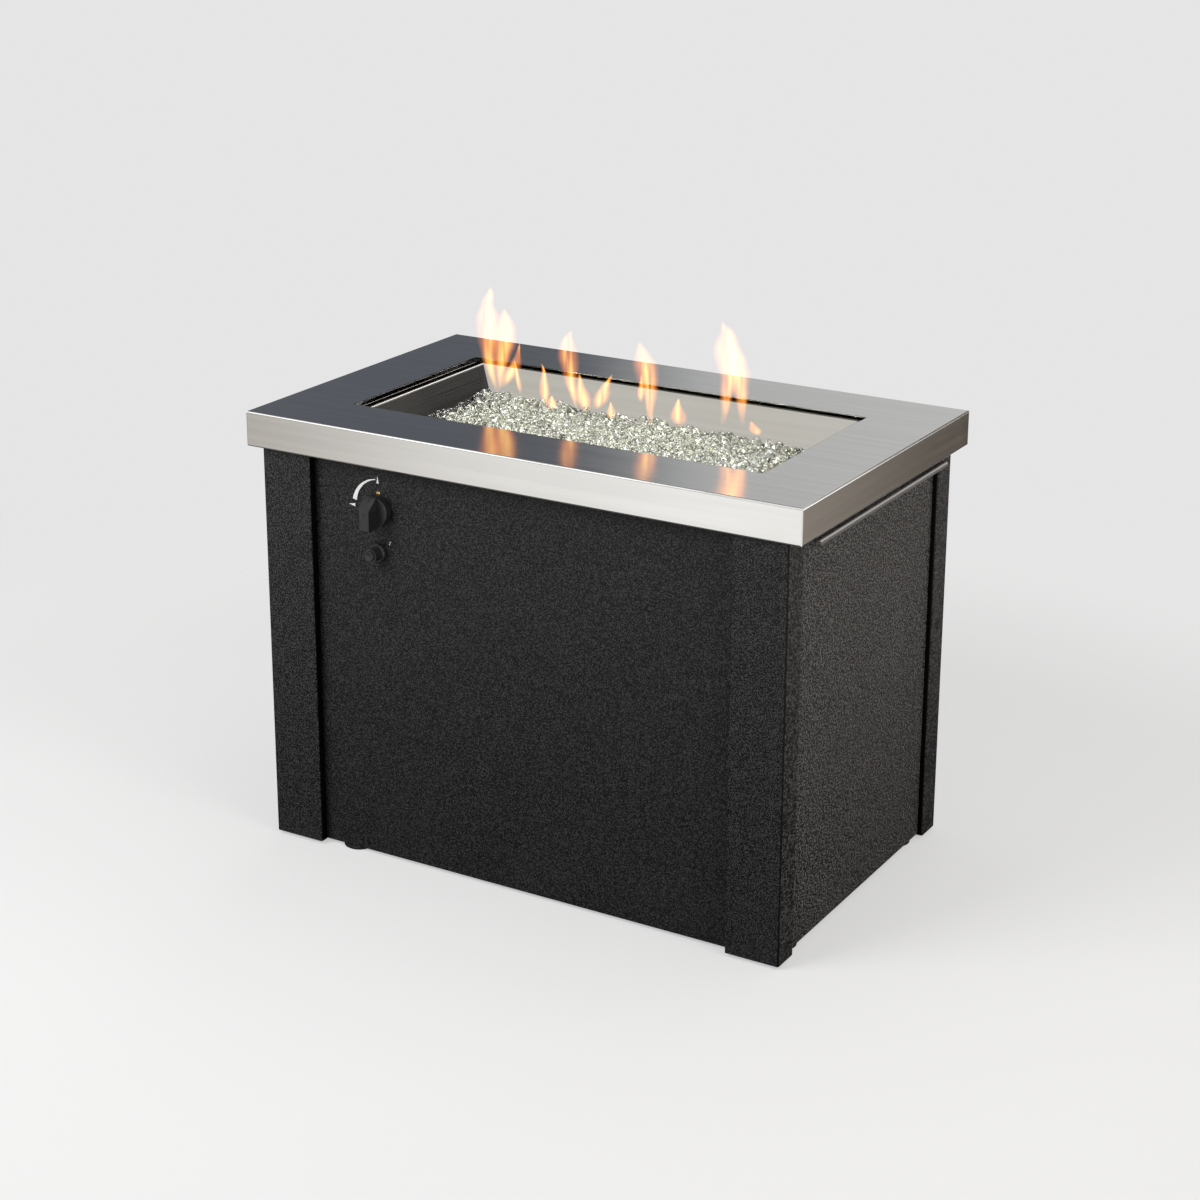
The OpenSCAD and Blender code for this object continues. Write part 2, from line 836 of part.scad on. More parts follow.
// Burner pan: a rolled rim with a gutter, sloping walls, a well and a flat floor, held by two straps
module burner_pan() {
    h = pan_sheet / 2;
    floor_lap = 15;
    color(bright_steel)
        difference() {
            translate([pan_x, 0, 0]) {
                mitred(rim_half_x, rim_half_y, rim_lip + pan_slope + floor_lap + 5)
                    fold([
                        [-h, rim_z - gutter_h],
                        [-h, rim_z - h],
                        [h - rim_lip, rim_z - h],
                        [-rim_lip - pan_slope, well_z],
                        [-rim_lip - pan_slope, pan_bottom + h],
                        [-rim_lip - pan_slope - floor_lap, pan_bottom + h]
                    ], pan_sheet, 1);
                pan_gutter();
                translate([-floor_half_x + floor_lap / 2, -floor_half_y + floor_lap / 2, pan_bottom])
                    cube([2 * floor_half_x - floor_lap, 2 * floor_half_y - floor_lap, pan_sheet]);
            }
            translate([-inlet_x, 0, 0]) bar_z(tube_r + screw_fit, pan_bottom - 1, pan_floor + 1);
            translate([electrode_x, electrode_y, 0])
                bar_z(electrode_r + screw_fit, pan_bottom - 1, pan_floor + 1);
        }
}

module burner_strap(x) {
    z_fix = apron_z - sheet - strap_t / 2;
    z_low = pan_bottom - strap_t / 2;
    y_out = panel_back_y - sheet - strap_end;
    y_in = panel_back_y - rail_w;
    color(zinc)
        difference() {
            along_x(x - strap_w / 2, x + strap_w / 2)
                fold([
                    [-y_out, z_fix],
                    [-y_in, z_fix],
                    [-y_in, z_low],
                    [y_in, z_low],
                    [y_in, z_fix],
                    [y_out, z_fix]
                ], strap_t, 2);
            top_screw_holes();
        }
}

module burner_strap_left() { burner_strap(-strap_x); }
module burner_strap_right() { burner_strap(strap_x); }

// Burner tube: an H of drilled tubes with an inlet stub through the pan's floor
module tube_cores(r, cap) {
    translate([0, 0, tube_z]) bar_x(r, -tube_len / 2 + cap, tube_len / 2 - cap);
    for (s = [-1, 1])
        translate([s * cross_x, 0, tube_z]) bar_y(r, -cross_len / 2 + cap, cross_len / 2 - cap);
}

module burner_tube() {
    bore = tube_r - tube_wall;
    ports = floor((tube_len - 2 * tube_d) / port_pitch / 2) - 1;
    cross_ports = floor((cross_len / 2 - 2 * tube_r) / port_pitch);
    color(zinc)
        difference() {
            union() {
                tube_cores(tube_r, 0);
                translate([-inlet_x, 0, 0]) bar_z(tube_r, pan_bottom - stub_drop, tube_z);
            }
            tube_cores(bore, tube_wall);
            translate([-inlet_x, 0, 0]) bar_z(bore, pan_bottom - stub_drop - 1, tube_z);
            for (i = [-ports : ports])
                translate([i * port_pitch, 0, 0]) bar_z(port_d / 2, tube_z, tube_z + tube_d);
            for (s = [-1, 1], e = [-1, 1], i = [1 : cross_ports])
                translate([s * cross_x, e * (tube_r + i * port_pitch - port_pitch / 2), 0])
                    bar_z(port_d / 2, tube_z, tube_z + tube_d);
        }
}

foot_block = 24;

module burner_feet() {
    color(zinc)
        for (s = [-1, 1], e = [-1, 1])
            difference() {
                translate([s * cross_x - tube_r, e * cross_len / 3 - foot_block / 2, pan_floor])
                    cube([tube_d, foot_block, tube_r]);
                translate([s * cross_x, 0, tube_z]) bar_y(tube_r + 0.02, -cross_len, cross_len);
            }
}

// Gas jet: a nut and a holder on the end of the burner's inlet stub
module burner_jet() {
    top = pan_bottom - stub_drop;
    color(brass)
        translate([-inlet_x, 0, 0])
            difference() {
                union() {
                    translate([0, 0, top - jet_nut_h])
                        cylinder(r = tube_r + jet_nut_wall, h = jet_nut_h, $fn = 6);
                    bar_z(jet_r, pan_bottom - jet_drop, top - jet_nut_h);
                }
                bar_z(jet_bore_r, pan_bottom - jet_drop - 1, top + 1);
            }
}

module feed_tube() {
    color(zinc)
        tube_run([
            [knob_x, outlet_y, knob_z - outlet_drop],
            [knob_x, outlet_y, feed_z],
            [-inlet_x, outlet_y, feed_z],
            [-inlet_x, 0, feed_z],
            [-inlet_x, 0, pan_bottom - jet_drop]
        ], feed_r, feed_bend);
}

// Spark electrode: a ceramic sleeve with a collar under the floor and a wire tip
module spark_electrode() {
    tip = tube_z + tube_r - wire_r;
    sleeve_top = pan_floor + sleeve_rise;
    color("#e8e4da")
        translate([electrode_x, electrode_y, 0]) {
            bar_z(electrode_r, pan_bottom - electrode_drop, sleeve_top);
            bar_z(electrode_r + collar_lap, pan_bottom - collar_h, pan_bottom);
            bar_z(wire_r, sleeve_top, tip);
        }
}

module spark_lead() {
    lead_y = barrel_back + lead_reach;
    color("#3a3a3c")
        tube_run([
            [knob_x, barrel_back, igniter_z],
            [knob_x, lead_y, igniter_z],
            [electrode_x, lead_y, igniter_z],
            [electrode_x, electrode_y, igniter_z],
            [electrode_x, electrode_y, pan_bottom - electrode_drop]
        ], lead_r, lead_bend);
}

// Fire glass: a heap of nuggets in the pan, over and round the burner tube
function ring(c, r, z, a) = [for (i = [0 : 4]) c + [r * cos(72 * i + a), r * sin(72 * i + a), z]];

function gem_points(c, r, a, tall) =
    concat(
        [c + [0, 0, r * tall]],
        ring(c, 0.9 * r, 0.45 * r * tall, a),
        ring(c, 0.9 * r, -0.45 * r * tall, a + 36),
        [c - [0, 0, r * tall]]
    );

gem_faces = concat(
    [for (i = [0 : 4]) [0, 1 + (i + 1) % 5, 1 + i]],
    [for (i = [0 : 4]) [1 + i, 1 + (i + 1) % 5, 6 + i]],
    [for (i = [0 : 4]) [1 + (i + 1) % 5, 6 + (i + 1) % 5, 6 + i]],
    [for (i = [0 : 4]) [11, 6 + i, 6 + (i + 1) % 5]]
);

glass_wall_gap = 2.5;
glass_flare = max(0, glass_top - well_z);
glass_low_x = floor_half_x - glass_wall_gap;
glass_low_y = floor_half_y - glass_wall_gap;
glass_half_x = glass_low_x + glass_flare;
glass_half_y = glass_low_y + glass_flare;

function heap(x, y) =
    glass_crown * (1 - pow(x / glass_half_x, 2)) * (1 - pow(y / glass_half_y, 2));

function level(x, y, z) = [for (c = [[-1, -1], [1, -1], [1, 1], [-1, 1]]) [c[0] * x, c[1] * y, z]];

module glass_bed() {
    polyhedron(
        concat(
            level(glass_low_x, glass_low_y, pan_floor + seat_gap),
            level(glass_low_x, glass_low_y, min(well_z, glass_top - 1)),
            level(glass_half_x, glass_half_y, glass_top)
        ),
        concat(
            [[0, 1, 2, 3], [11, 10, 9, 8]],
            [for (k = [0, 4], i = [0 : 3]) [k + 4 + i, k + 4 + (i + 1) % 4, k + (i + 1) % 4, k + i]]
        )
    );
}

module nuggets() {
    margin = 1.35 * nugget_r + 1.5;
    nugget_pitch = 0.92 * nugget_d;
    count_x = floor(2 * (glass_half_x - margin) / nugget_pitch);
    count_y = floor(2 * (glass_half_y - margin) / nugget_pitch);
    step_x = 2 * (glass_half_x - margin) / count_x;
    step_y = 2 * (glass_half_y - margin) / count_y;
    loose = nugget_d / 7;
    wobble = rands(-1, 1, 6 * (count_x + 1) * (count_y + 1), 7);
    for (i = [0 : count_x], j = [0 : count_y]) {
        k = 6 * (i * (count_y + 1) + j);
        inner_x = i == 0 || i == count_x ? 0 : loose;
        inner_y = j == 0 || j == count_y ? 0 : loose;
        x = margin - glass_half_x + i * step_x + inner_x * wobble[k];
        y = margin - glass_half_y + j * step_y + inner_y * wobble[k + 1];
        z = glass_top + heap(x, y) + wobble[k + 2] * nugget_d / 12;
        r = nugget_r * (0.95 + 0.1 * wobble[k + 3]);
        polyhedron(gem_points([x, y, z], r, 180 * wobble[k + 4], 0.7 + 0.15 * wobble[k + 5]), gem_faces);
    }
}

module fire_glass() {
    channel = tube_d + 2 * seat_gap;
    channel_h = tube_z + tube_r + seat_gap - pan_bottom;
    color("#cfd6cf")
        difference() {
            translate([pan_x, 0, 0]) {
                glass_bed();
                nuggets();
            }
            translate([-tube_len / 2 - seat_gap, -channel / 2, pan_bottom])
                cube([tube_len + 2 * seat_gap, channel, channel_h]);
            for (s = [-1, 1])
                translate([s * cross_x - channel / 2, -cross_len / 2 - seat_gap, pan_bottom])
                    cube([channel, cross_len + 2 * seat_gap, channel_h]);
            translate([electrode_x, electrode_y, pan_bottom])
                cylinder(r = electrode_r + 1, h = channel_h, $fn = 8);
        }
}

// Gas valve behind the front panel, with its stem, screws and inlet fitting
module valve_screw_axes(r, from, to) {
    for (s = [-1, 1]) translate([knob_x, 0, knob_z + s * valve_screw_r]) bar_y(r, from, to);
}

module gas_valve() {
    plate_half = valve_screw_r + valve_screw_d;
    color(zinc)
        difference() {
            union() {
                translate([knob_x - valve_r, -panel_back_y, knob_z - plate_half])
                    cube([2 * valve_r, valve_plate, 2 * plate_half]);
                translate([knob_x, 0, knob_z]) bar_y(valve_r, valve_front, valve_back);
                translate([knob_x, outlet_y, 0]) bar_z(feed_r + outlet_wall, knob_z - outlet_drop, knob_z);
            }
            translate([knob_x, 0, knob_z])
                bar_y(stem_r + running_fit, -panel_back_y - 1, -panel_back_y + stem_depth + 1);
            valve_screw_axes(valve_screw_d / 2 + screw_fit, -panel_back_y - 1, valve_front + 1);
        }
}

module inlet_fitting() {
    hex_end = valve_back + inlet_hex;
    color(brass)
        translate([knob_x, 0, knob_z])
            difference() {
                union() {
                    translate([0, hex_end, 0])
                        rotate([90, 0, 0]) cylinder(r = inlet_r + inlet_hex_lap, h = inlet_hex, $fn = 6);
                    bar_y(inlet_r, hex_end, hex_end + inlet_len);
                }
                bar_y(inlet_bore_r, valve_back + 1, hex_end + inlet_len + 1);
            }
}

// Gas hose from the valve to the regulator, which lies on the shelf with its coupling nut
hose_r = 6.5;
hose_bend = 32;
hose_reach = 66;
hose_y = valve_back + inlet_hex + hose_reach;
hose_nut_len = 18;
hose_nut_wall = 4;
hose_nut_gap = 0.5;
hose_nut_y = valve_back + inlet_hex + hose_nut_gap;
regulator_r = 34;
regulator_h = 46;
regulator_z = shelf_z + sheet + regulator_h / 2;
regulator_y = -20;
spud_len = 22;
spud_r = 9;
coupling_r = 22.5;
coupling_len = 34;
coupling_bore = 33.4;
coupling_depth = 22;
spud_front = 10;
coupling_y = regulator_y + regulator_r + spud_front;
coupling_end = coupling_y + coupling_len;
coupling_grips = 10;

module hose_nut() {
    bore_end = valve_back + inlet_hex + inlet_len;
    color(brass)
        translate([knob_x, 0, knob_z])
            difference() {
                translate([0, hose_nut_y + hose_nut_len, 0])
                    rotate([90, 0, 0]) cylinder(r = inlet_r + hose_nut_wall, h = hose_nut_len, $fn = 6);
                bar_y(inlet_r + screw_fit, hose_nut_y - 1, bore_end);
            }
}

module gas_hose() {
    color(black_plastic)
        tube_run([
            [knob_x, hose_nut_y + hose_nut_len, knob_z],
            [knob_x, hose_y, knob_z],
            [knob_x, hose_y, regulator_z],
            [knob_x, regulator_y - regulator_r - spud_len, regulator_z]
        ], hose_r, hose_bend);
}

module gas_regulator() {
    base = regulator_z - regulator_h / 2;
    color(zinc)
        translate([knob_x, 0, 0]) {
            translate([0, regulator_y, base])
                rotate_extrude($fn = 64)
                    polygon([
                        [0, 0],
                        [regulator_r * 0.7, 0],
                        [regulator_r, regulator_h * 0.3],
                        [regulator_r, regulator_h * 0.7],
                        [regulator_r * 0.8, regulator_h * 0.78],
                        [regulator_r * 0.45, regulator_h * 0.85],
                        [regulator_r * 0.45, regulator_h],
                        [0, regulator_h]
                    ]);
            translate([0, 0, regulator_z]) {
                bar_y(spud_r, regulator_y - regulator_r - spud_len, regulator_y);
                bar_y(spud_r, regulator_y, coupling_end - coupling_depth);
            }
        }
}

module tank_coupling() {
    grip_r = 4;
    color(black_plastic)
        translate([knob_x, 0, regulator_z])
            difference() {
                bar_y(coupling_r, coupling_y, coupling_end, $fn = 64);
                bar_y(coupling_bore / 2, coupling_end - coupling_depth, coupling_end + 1);
                bar_y(spud_r + screw_fit, coupling_y - 1, coupling_end);
                for (i = [0 : coupling_grips - 1])
                    rotate([0, 360 * i / coupling_grips, 0])
                        translate([coupling_r + grip_r / 2, 0, 0])
                            bar_y(grip_r, coupling_y - 1, coupling_end + 1);
            }
}

// Dome-headed screws with a slot
valve_head_r = 3.4;
valve_head_h = 2;
valve_screw_tail = 4;
slot_w = 0.8;
slot_depth = 0.9;

module dome(r, h) {
    ball = (r * r + h * h) / (2 * h);
    intersection() {
        translate([0, ball - h, 0]) sphere(r = ball, $fn = 48);
        bar_y(r + 1, -h - 1, 0);
    }
}

module valve_screws() {
    screw_end = valve_front + valve_screw_tail;
    color(brass)
        for (s = [-1, 1])
            translate([knob_x, 0, knob_z + s * valve_screw_r])
                difference() {
                    union() {
                        bar_y(valve_screw_d / 2, -panel_y - valve_head_h / 2, screw_end);
                        translate([0, -panel_y, 0]) dome(valve_head_r, valve_head_h);
                    }
                    translate([-valve_head_r, -panel_y - 2 * valve_head_h + slot_depth, -slot_w / 2])
                        cube([2 * valve_head_r, valve_head_h, slot_w]);
                }
}

knob_socket = 16;
pointer_w = 2;
pointer_cut = 1.5;
pointer_end = 2;
grip_edge = 1;
skirt_round = 1.5;
mark_w = 5;
mark_h = 4;
mark_cut = 0.5;
press_gap = 0.02;

// A shaft along Y with a flat on its right side
module d_shaft(r, from, to) {
    difference() {
        bar_y(r, from, to);
        translate([0.7 * r, from - 1, -r]) cube([r, to - from + 2, 2 * r]);
    }
}

module valve_stem() {
    color(brass)
        translate([knob_x, 0, knob_z]) {
            d_shaft(stem_r, knob_back - knob_socket + press_gap, knob_back);
            bar_y(stem_r, knob_back, -panel_back_y + stem_depth);
        }
}

// Control knob: a round skirt with a bar grip that slopes down at its pointer end
module control_knob() {
    front = knob_back - knob_h;
    skirt_front = knob_back - skirt_h;
    r = knob_d / 2;
    shoulder = 0.3 * r;
    color(black_plastic)
        translate([knob_x, 0, knob_z])
            difference() {
                union() {
                    rotate([90, 0, 0])
                        translate([0, 0, -knob_back])
                            rotate_extrude($fn = 64)
                                polygon([
                                    [0, 0],
                                    [r, 0],
                                    [r, skirt_h - skirt_round],
                                    [r - 0.3 * skirt_round, skirt_h - 0.3 * skirt_round],
                                    [r - skirt_round, skirt_h],
                                    [0, skirt_h]
                                ]);
                    along_x(-bar_w / 2, bar_w / 2) bar_outline(front, skirt_front, r, shoulder);
                }
                d_shaft(stem_r + press_gap, knob_back - knob_socket, knob_back + 1);
                along_x(-pointer_w / 2, pointer_w / 2)
                    polygon([
                        [front - 1, shoulder + pointer_end],
                        [front + pointer_cut, shoulder + pointer_end],
                        [skirt_front - pointer_end + pointer_cut, r - grip_edge],
                        [front - 1, r - grip_edge]
                    ]);
                translate([0, front + mark_cut, shoulder - mark_h - pointer_end])
                    rotate([90, 0, 0])
                        linear_extrude(2 * mark_cut)
                            polygon([[-mark_w / 2, 0], [mark_w / 2, 0], [0, mark_h]]);
            }
}

// Side outline of the bar grip, from the square heel to the sloping pointer end
module bar_outline(front, back, r, shoulder) {
    polygon([
        [back + grip_edge, grip_edge / 2 - r],
        [front + grip_edge, grip_edge / 2 - r],
        [front, 1.5 * grip_edge - r],
        [front, shoulder - 0.8 * grip_edge],
        [front + 0.4 * grip_edge, shoulder],
        [back - pointer_end, r - grip_edge],
        [back + grip_edge, r - 0.6 * grip_edge]
    ]);
}

// Spark igniter: a barrel through the panel, a ribbed nut in front and a push button
module igniter_body() {
    bore = button_d / 2 + running_fit;
    color(black_plastic)
        translate([knob_x, 0, igniter_z])
            difference() {
                union() {
                    bar_y(barrel_r, barrel_front, barrel_back);
                    bar_y(barrel_r + flange_lap, -panel_back_y, -panel_back_y + barrel_flange);
                }
                bar_y(bore, barrel_front - 1, barrel_front + plunger_len + button_travel + 1);
            }
}

nut_reach = 9;
nut_ribs = 16;
nut_wall = 4;
rib_cut_r = 1.2;
rib_shift = 0.5;
nut_base = 2;

module igniter_nut() {
    r = barrel_r + nut_wall;
    color(black_plastic)
        translate([knob_x, 0, igniter_z])
            difference() {
                rotate([90, 0, 0])
                    translate([0, 0, panel_y])
                        rotate_extrude($fn = 64)
                            polygon([
                                [barrel_r + screw_fit, 0],
                                [r, 0],
                                [r, nut_reach - nut_base],
                                [r - nut_base, nut_reach],
                                [barrel_r + screw_fit, nut_reach]
                            ]);
                for (i = [0 : nut_ribs - 1])
                    rotate([0, 360 * i / nut_ribs, 0])
                        translate([r + rib_shift, 0, 0])
                            bar_y(rib_cut_r, -panel_y - nut_reach - 1, -panel_y - nut_base);
            }
}

module igniter_button() {
    r = button_d / 2;
    front = barrel_front - button_reach;
    dish = 3 * r;
    color(black_plastic)
        translate([knob_x, 0, igniter_z])
            difference() {
                rotate([90, 0, 0])
                    translate([0, 0, -barrel_front - plunger_len])
                        rotate_extrude($fn = 48)
                            polygon([
                                [0, 0],
                                [r, 0],
                                [r, plunger_len + button_reach - 1],
                                [r - 1, plunger_len + button_reach],
                                [0, plunger_len + button_reach]
                            ]);
                translate([0, front - dish + 0.8, 0]) sphere(r = dish, $fn = 96);
            }
}

table_top();
leg_front_left();
leg_front_right();
leg_back_left();
leg_back_right();
front_panel();
back_panel();
left_panel();
top_rail_front();
top_rail_back();
top_rail_left();
top_rail_right();
sill_front();
sill_back();
sill_left();
sill_right();
tank_shelf();
tank_collar();
foot_front_left();
foot_front_right();
foot_back_left();
foot_back_right();
foot_nuts();
access_door();
door_pins();
door_magnets();
burner_strap_left();
burner_strap_right();
burner_pan();
burner_tube();
burner_feet();
burner_jet();
feed_tube();
spark_electrode();
spark_lead();
fire_glass();
gas_valve();
inlet_fitting();
hose_nut();
gas_hose();
gas_regulator();
tank_coupling();
valve_screws();
valve_stem();
control_knob();
igniter_body();
igniter_nut();
igniter_button();
top_screws();
strap_screws();
panel_rivets();
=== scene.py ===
import math
import random

import bmesh
import bpy
from bpy.props import FloatProperty, FloatVectorProperty, IntProperty, PointerProperty
from mathutils import Euler, Matrix, Vector, noise


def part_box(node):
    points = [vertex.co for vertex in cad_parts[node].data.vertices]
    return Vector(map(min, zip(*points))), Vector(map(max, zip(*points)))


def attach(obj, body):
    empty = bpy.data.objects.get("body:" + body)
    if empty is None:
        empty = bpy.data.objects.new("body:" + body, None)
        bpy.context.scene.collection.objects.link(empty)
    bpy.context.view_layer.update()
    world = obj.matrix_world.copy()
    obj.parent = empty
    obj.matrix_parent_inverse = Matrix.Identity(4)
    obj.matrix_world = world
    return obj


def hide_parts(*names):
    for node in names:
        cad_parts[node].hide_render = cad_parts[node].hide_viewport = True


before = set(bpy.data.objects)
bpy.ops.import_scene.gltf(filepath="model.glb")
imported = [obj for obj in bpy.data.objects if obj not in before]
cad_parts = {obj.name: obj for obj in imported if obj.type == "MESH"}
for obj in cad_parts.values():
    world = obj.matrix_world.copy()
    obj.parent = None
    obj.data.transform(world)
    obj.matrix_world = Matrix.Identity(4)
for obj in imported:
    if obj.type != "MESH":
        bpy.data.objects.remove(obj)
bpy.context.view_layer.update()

bl_info = {
    "name": "Gas Fire Pit Table",
    "version": (1, 0, 0),
    "blender": (4, 5, 0),
    "location": "View3D > Sidebar > Fire Pit",
    "description": "Dresses the packed fire pit table with its finishes, fire glass, panel print and studio",
    "category": "Object",
}

TABLE_BODY = "table"

# CAD nodes by the finish that they take
STEEL_TOP = ("table_top",)
STEEL_PAN = ("burner_pan",)
LEGS = ("leg_front_left", "leg_front_right", "leg_back_left", "leg_back_right")
DOOR = ("access_door",)
COATED = (
    "front_panel", "back_panel", "left_panel", "panel_rivets",
    "top_rail_front", "top_rail_back", "top_rail_left", "top_rail_right",
    "sill_front", "sill_back", "sill_left", "sill_right", "tank_shelf", "tank_collar",
)
ZINC = (
    "foot_nuts", "door_pins", "burner_strap_left", "burner_strap_right", "burner_tube", "burner_feet",
    "feed_tube", "gas_valve", "gas_regulator", "top_screws", "strap_screws",
)
BRASS = ("burner_jet", "inlet_fitting", "hose_nut", "valve_screws", "valve_stem")
PLASTIC = (
    "control_knob", "igniter_body", "igniter_nut", "igniter_button", "tank_coupling", "door_magnets",
    "foot_front_left", "foot_front_right", "foot_back_left", "foot_back_right",
)
RUBBER = ("gas_hose", "spark_lead")
CERAMIC = ("spark_electrode",)


class SteelSettings(bpy.types.PropertyGroup):
    """Brushed stainless of the top and the burner pan"""

    color: FloatVectorProperty(
        name="Color", description="Colour of the bare steel", subtype="COLOR", size=3, min=0, max=1,
        default=(0.60, 0.595, 0.585))
    pan_color: FloatVectorProperty(
        name="Pan Color", description="Colour of the pan's steel, warmed by the fire", subtype="COLOR",
        size=3, min=0, max=1, default=(0.56, 0.545, 0.505))
    roughness: FloatProperty(
        name="Roughness", description="Blur of the brushed top", subtype="FACTOR", min=0, max=1, default=0.12)
    pan_roughness: FloatProperty(
        name="Pan Roughness", description="Blur of the pan's walls", subtype="FACTOR", min=0, max=1,
        default=0.17)


class CoatSettings(bpy.types.PropertyGroup):
    """Hammered black powder coat of the cabinet"""

    color: FloatVectorProperty(
        name="Color", description="Colour of the powder coat", subtype="COLOR", size=3, min=0, max=1,
        default=(0.0125, 0.0125, 0.0132))
    roughness: FloatProperty(
        name="Roughness", description="Blur of the coat's gloss", subtype="FACTOR", min=0, max=1, default=0.4)
    hammer_size: FloatProperty(
        name="Hammer Size", description="Width of a dimple of the hammered coat", unit="LENGTH", min=0.0005,
        max=0.01, default=0.0016)
    hammer_depth: FloatProperty(
        name="Hammer Depth", description="Depth of a dimple of the hammered coat", unit="LENGTH", min=0,
        max=0.002, default=0.0004)
    contrast: FloatProperty(
        name="Contrast", description="How far the dimples' pale tops stand out", subtype="FACTOR", min=0,
        max=1, default=0.85)


class GlassSettings(bpy.types.PropertyGroup):
    """Fire glass over the burner"""

    color: FloatVectorProperty(
        name="Color", description="Tint of the glass", subtype="COLOR", size=3, min=0, max=1,
        default=(0.95, 0.965, 0.90))
    bed_color: FloatVectorProperty(
        name="Bed Color", description="Shade of the glass below the top layer", subtype="COLOR", size=3,
        min=0, max=1, default=(0.96, 0.93, 0.83))
    nugget: FloatProperty(
        name="Nugget", description="Middle width of a nugget", unit="LENGTH", min=0.008, max=0.03,
        default=0.0145)
    pitch: FloatProperty(
        name="Pitch", description="Distance between nuggets", unit="LENGTH", min=0.006, max=0.03,
        default=0.0132)
    tilt: FloatProperty(
        name="Tilt", description="How much higher the left end of the heap lies", unit="LENGTH", min=0,
        max=0.02, default=0.008)
    glint_power: FloatProperty(
        name="Glint Power", description="Power of the light that glints in the nuggets", unit="POWER", min=0,
        max=500, default=22)
    seed: IntProperty(name="Seed", description="Layout of the nuggets", min=1, default=11)


class PrintSettings(bpy.types.PropertyGroup):
    """White marks printed round the knob"""

    color: FloatVectorProperty(
        name="Color", description="Colour of the print", subtype="COLOR", size=3, min=0, max=1,
        default=(0.80, 0.80, 0.78))
    reach: FloatProperty(
        name="Reach", description="Distance of the marks' points from the knob's axis", unit="LENGTH",
        min=0.03, max=0.06, default=0.0465)
    thickness: FloatProperty(
        name="Thickness", description="Thickness of the ink", unit="LENGTH", min=0.00002, max=0.0005,
        default=0.0001)


class StageSettings(bpy.types.PropertyGroup):
    """Camera, floor, light and fire for the picture"""

    eye: FloatVectorProperty(
        name="Eye", description="Place of the camera", subtype="TRANSLATION", unit="LENGTH", size=3,
        default=(1.611, -2.7423, 1.4965))
    aim: FloatVectorProperty(
        name="Aim", description="Turn of the camera", subtype="EULER", unit="ROTATION", size=3,
        default=(math.radians(72.3656), math.radians(-0.1377), math.radians(30.6696)))
    lens: FloatProperty(
        name="Lens", description="Focal length in millimetres", min=20, max=200, default=74.64)
    rise: FloatProperty(
        name="Rise", description="Upward shift of the lens, as a share of the picture", min=-0.3, max=0.3,
        default=-0.0833)
    backdrop: FloatProperty(
        name="Backdrop", description="Brightness of the plain backdrop", min=0, max=2, default=0.784)
    floor_color: FloatVectorProperty(
        name="Floor Color", description="Colour of the floor", subtype="COLOR", size=3, min=0, max=1,
        default=(0.76, 0.76, 0.76))
    floor_glow: FloatProperty(
        name="Floor Glow", description="How far the floor glows as the backdrop does, which lightens shadows",
        subtype="FACTOR", min=0, max=1, default=0.6)
    floor_reach: FloatProperty(
        name="Floor Reach", description="Radius at which the floor has faded into the backdrop",
        unit="LENGTH", min=0.5, max=10, default=1.75)
    wrap: FloatProperty(
        name="Wrap", description="Strength of the light from the studio all round", min=0, max=5, default=1.0)
    strip: FloatProperty(
        name="Strip", description="Brightness of the strip lights that edge the top", min=0, max=20,
        default=3.0)
    key_power: FloatProperty(
        name="Key Power", description="Power of the soft light on the right", unit="POWER", min=0, max=500,
        default=30)
    fill_power: FloatProperty(
        name="Fill Power", description="Power of the soft light in front", unit="POWER", min=0, max=500,
        default=52)
    top_power: FloatProperty(
        name="Top Power", description="Power of the soft light overhead", unit="POWER", min=0, max=500,
        default=14)


class Socket:
    """A shader socket that takes Python's operators, each of which adds its Math node."""

    def __init__(self, tree, socket):
        self.tree = tree
        self.socket = socket

    def out(self, name):
        return Socket(self.tree, self.socket.node.outputs[name])

    def __add__(self, other):
        return self.tree.math("ADD", self, other)

    def __radd__(self, other):
        return self.tree.math("ADD", other, self)

    def __sub__(self, other):
        return self.tree.math("SUBTRACT", self, other)

    def __rsub__(self, other):
        return self.tree.math("SUBTRACT", other, self)

    def __mul__(self, other):
        return self.tree.math("MULTIPLY", self, other)

    def __rmul__(self, other):
        return self.tree.math("MULTIPLY", other, self)

    def __truediv__(self, other):
        return self.tree.math("DIVIDE", self, other)

    def __pow__(self, other):
        return self.tree.math("POWER", self, other)

    def __abs__(self):
        return self.tree.math("ABSOLUTE", self)


